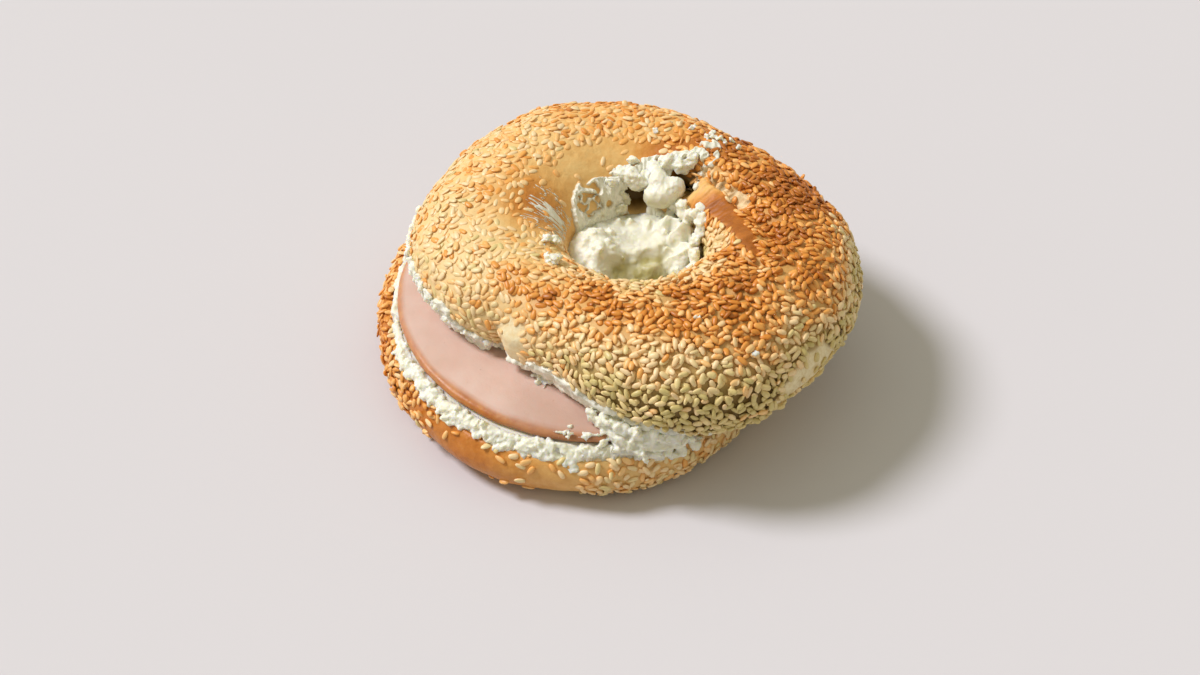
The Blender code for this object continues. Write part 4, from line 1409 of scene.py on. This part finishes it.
def make_lower_cream(finish, draw):
    """The curds that the ham pushes out over the edge of the lower half."""
    angle = round_angles(CREAM_ROWS)
    rim = lower_rim(angle) - LOWER_CREAM_INSET + bumps(angle, *LOWER_CREAM_SPILLS)
    _, x, y = band_plan(angle, rim, 0.6, 2.2)
    band = band_points(x, y, cut_face(LOWER_MIDDLE[0] + x) + 0.1, ham_base(LOWER_MIDDLE[0] + x) - 0.05)
    places = []
    for _ in range(UNDER_HAM_CURDS):
        way = math.radians(draw.uniform(200.0, 300.0))
        clump = 0.5 + 0.9 * noise.noise((math.degrees(way) / 3.2, 4.0, 0.0))
        low = float(between(LOWER_DROP, math.degrees(way))) + 1.8 * (clump - 0.5)
        edge, meat = float(lower_rim(np.array(way))), float(ham_reach(way, LOWER_MIDDLE))
        share = draw.random() ** 0.8
        out = (1.0 - share) * min(meat + 0.1, edge + 1.0) + share * (edge - 0.4 + 0.7 * clump)
        place_x = out * math.cos(way)
        high = float(ham_base(LOWER_MIDDLE[0] + place_x)) - 0.3
        floor = float(cut_face(LOWER_MIDDLE[0] + place_x)) + 0.3 - low
        size = draw.uniform(0.5, 1.0) + 0.9 * max(clump, 0.0)
        height = high * (1.0 - share) + floor * share + draw.normal(0.0, 0.25)
        middle = (place_x, out * math.sin(way), height)
        places.append((middle, size * draw.uniform(0.6, 1.4, 3) * (1.4, 1.0, 0.6)))
    points, faces = join_lumps(band, grid_faces(*band.shape[:2], True, True).tolist(), places, draw)
    make_cream("cream_under_ham", points, faces, MELT_COARSE, LOWER_MIDDLE, finish, soften=4, curds=0.34,
               torn=0.42)


def over_ham(x):
    """Height of the ham's top, from the middle of the upper half."""
    return ham_base(UPPER_MIDDLE[0] + x) + HAM_THICKNESS + 0.05 - UPPER_MIDDLE[2]


def make_upper_layer(finish):
    """The layer between the ham and the upper half, which also lies under the heap in the hole."""
    angle = round_angles(LAYER_ROWS)
    share = np.array((0.02, 0.3, 0.6, 0.9, 1.0, 1.0, 0.9, 0.6, 0.3, 0.02))[None, :]
    radius = (upper_cream_rim(angle) - 1.0) * share
    x, y = around(radius, angle)
    upward = np.arange(share.size)[None, :] >= share.size // 2
    points = joined(x, y, np.where(upward, TILT * x - 0.05, over_ham(x)))
    points = (points.reshape(-1, 3) + UPPER_MIDDLE) * MM
    layer = mesh_object("cream_layer_upper", points, capped_faces(LAYER_ROWS, share.size))
    dress(layer, finish, "cream_cheese", "cream_upper")


def make_upper_cream(skin, finish, draw):
    """What has been pressed out from between the ham and the upper half."""
    angle = round_angles(CREAM_ROWS)
    radius, x, y = band_plan(angle, upper_cream_rim(angle) + bumps(angle, UPPER_CREAM_SPILL), 0.5, 3.0)
    base = over_ham(x) - 2.0 * fade(radius - ham_reach(angle) - 0.8, 2.5)
    top = TILT * x + upper_lift(angle, radius) - 0.05
    band = band_points(x, y, base, np.maximum(top, base + 0.4))

    def rim_at(way):
        under_bread = ring_reach(upper_point, way, -UPPER_RIM_TURN)
        return min(under_bread - 0.5, float(ham_reach(way)))

    def height_at(place_x):
        return TILT * place_x - 0.3

    places = rim_heap((176.0, 216.0), rim_at, height_at, (0.4, 1.2), 1.2, draw, LEFT_RIM_CURDS)
    places += rim_heap((222.0, 262.0), rim_at, height_at, (0.5, 1.3), 0.9, draw, FRONT_RIM_CURDS)
    places += edge_curds(skin, draw)
    for middle, radii in SPILL:
        places.append((middle, draw.uniform(0.8, 1.15, 3) * radii * (1.15, 1.0, 0.85)))
        for _ in range(SPILL_PARTS):
            offset = draw.normal(0.0, 0.6, 3) * radii
            small = draw.uniform(0.4, 0.7, 3) * radii * (1.15, 1.0, 0.7)
            places.append((offset + middle, small))
    points, faces = join_lumps(band, grid_faces(*band.shape[:2], True, True).tolist(), places, draw)
    make_cream("cream_over_ham", points, faces, MELT_COARSE, UPPER_MIDDLE, finish, soften=4, curds=0.34,
               torn=0.42)


def make_crumbs(skin, finish, draw):
    """Crumbs of cream that have fallen on the crust."""
    places = []
    for x, y, size in CRUMBS:
        away = np.hypot(skin.points[..., 0] - x, skin.points[..., 1] - y)
        away[skin.points[..., 2] < CRUMBS_ABOVE] = np.inf
        found = np.unravel_index(np.argmin(away), away.shape)
        point, normal = skin.points[found], skin.normals[found]
        for _ in range(CRUMB_PARTS):
            offset = draw.normal(0.0, 0.26, 3) * size + normal * (0.12 * size + 0.45)
            radii = 0.36 * size * draw.uniform(0.6, 1.4, 3) * (1.2, 1.0, 0.7)
            places.append((point + offset, radii))
    points, faces = blob_arrays(places, draw)
    make_cream("cream_crumbs", points, faces, CRUMB_GRAIN, skin.middle, finish, soften=2, curds=0.15,
               torn=0.25)


# Floor, light and camera

def make_stage():
    bpy.ops.mesh.primitive_plane_add(size=FLOOR_SIZE)
    floor = bpy.context.object
    floor.name = "floor"
    paper = Finish("floor", 0.85)
    tone = paper.noise(260.0, 3.0)
    paper.colour(paper.ramp(tone, (0.3, (0.635, 0.608, 0.622)), (0.7, (0.645, 0.618, 0.632))))
    floor.data.materials.append(paper.material)


def make_light():
    """A soft sun from the left, and a sky that is brighter towards one side."""
    key_data = bpy.data.lights.new("key", "SUN")
    key_data.angle = math.radians(KEY_SPREAD)
    key_data.energy = KEY_STRENGTH
    key_data.color = KEY_COLOUR
    key = bpy.data.objects.new("key", key_data)
    key.location = KEY_FROM * 2.0
    key.rotation_mode = "QUATERNION"
    key.rotation_quaternion = KEY_FROM.to_track_quat("Z", "Y")
    bpy.context.scene.collection.objects.link(key)
    sky = bpy.data.worlds.new("studio")
    sky.use_nodes = True
    nodes, links = sky.node_tree.nodes, sky.node_tree.links
    back = nodes["Background"]
    back.inputs["Color"].default_value = (*FILL_COLOUR, 1.0)
    place = nodes.new("ShaderNodeTexCoord")
    facing = nodes.new("ShaderNodeVectorMath")
    facing.operation = "DOT_PRODUCT"
    facing.inputs[1].default_value = FILL_FROM.normalized()
    links.new(place.outputs["Generated"], facing.inputs[0])
    level = nodes.new("ShaderNodeMapRange")
    for name, number in zip(RANGE_SOCKETS, (-0.6, 1.0, *FILL_RANGE)):
        level.inputs[name].default_value = number
    links.new(facing.outputs["Value"], level.inputs["Value"])
    links.new(level.outputs["Result"], back.inputs["Strength"])
    bpy.context.scene.world = sky


def make_camera():
    camera_data = bpy.data.cameras.new("camera")
    camera_data.sensor_width = SENSOR_WIDTH
    camera_data.lens = CAMERA_LENS
    camera_data.clip_start = 0.05
    camera = bpy.data.objects.new("camera", camera_data)
    rise = math.radians(CAMERA_ELEVATION)
    toward = Vector((0.0, -math.cos(rise), math.sin(rise)))
    camera.location = (CAMERA_AIM + toward * CAMERA_DISTANCE) * MM
    camera.rotation_euler = (math.pi / 2 - rise, 0.0, 0.0)
    bpy.context.scene.collection.objects.link(camera)
    bpy.context.scene.camera = camera


def main():
    draw = np.random.default_rng(RANDOM_START)
    make_camera()
    make_stage()
    make_light()
    bpy.context.scene.view_settings.view_transform = "Standard"

    cream = cream_finish("cream_cheese", 0.6)
    smear = cream_finish("cream_smear", 0.1)
    sesame = sesame_finish()
    upper, lower = make_upper_skin(), make_lower_skin()
    make_crust("crust_upper_dressed", upper, upper_fields, "crust_upper", "bread_upper")
    make_crust("crust_lower_dressed", lower, lower_fields, "crust_lower", "bread_lower")

    names = ("sesame_upper_pale", "sesame_upper_golden", "sesame_upper_toasted")
    make_seeds(names, upper, upper_bare(upper.flat_points), UPPER_SEEDS, upper_toast, upper_wild, sesame,
               "crust_upper", "bread_upper", draw)
    names = ("sesame_lower",)
    make_seeds(names, lower, lower_bare(lower.flat_points), LOWER_SEEDS, lower_toast, lower_wild, sesame,
               "crust_lower", "bread_lower", draw)

    make_ham(ham_finish())
    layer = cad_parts["cream_lower"]
    layer.data.materials.clear()
    layer.data.materials.append(cream)
    make_mound(cream, draw)
    make_chunks(upper, cream, draw)
    make_upper_layer(cream)
    for name, angles, turns, thickness_at, sheer in (  # angles and turns are (first, last, step)
        ("cream_on_wall", (40.0, 164.0, 0.45), (64.0, 186.0, 0.6), wall_film, 0.75),
        ("cream_threads", (144.0, 194.0, 0.3), (106.0, 172.0, 1.2), streak_film, 0.0),
        ("cream_on_edge", (166.0, 294.0, 0.4), (-34.9, 16.0, 0.7), lip_smear, 0.0),
    ):
        make_film(name, upper, np.arange(*angles), np.arange(*turns), thickness_at, smear, sheer)
    make_lower_cream(cream, draw)
    make_upper_cream(upper, cream, draw)
    make_crumbs(upper, cream, draw)


main()
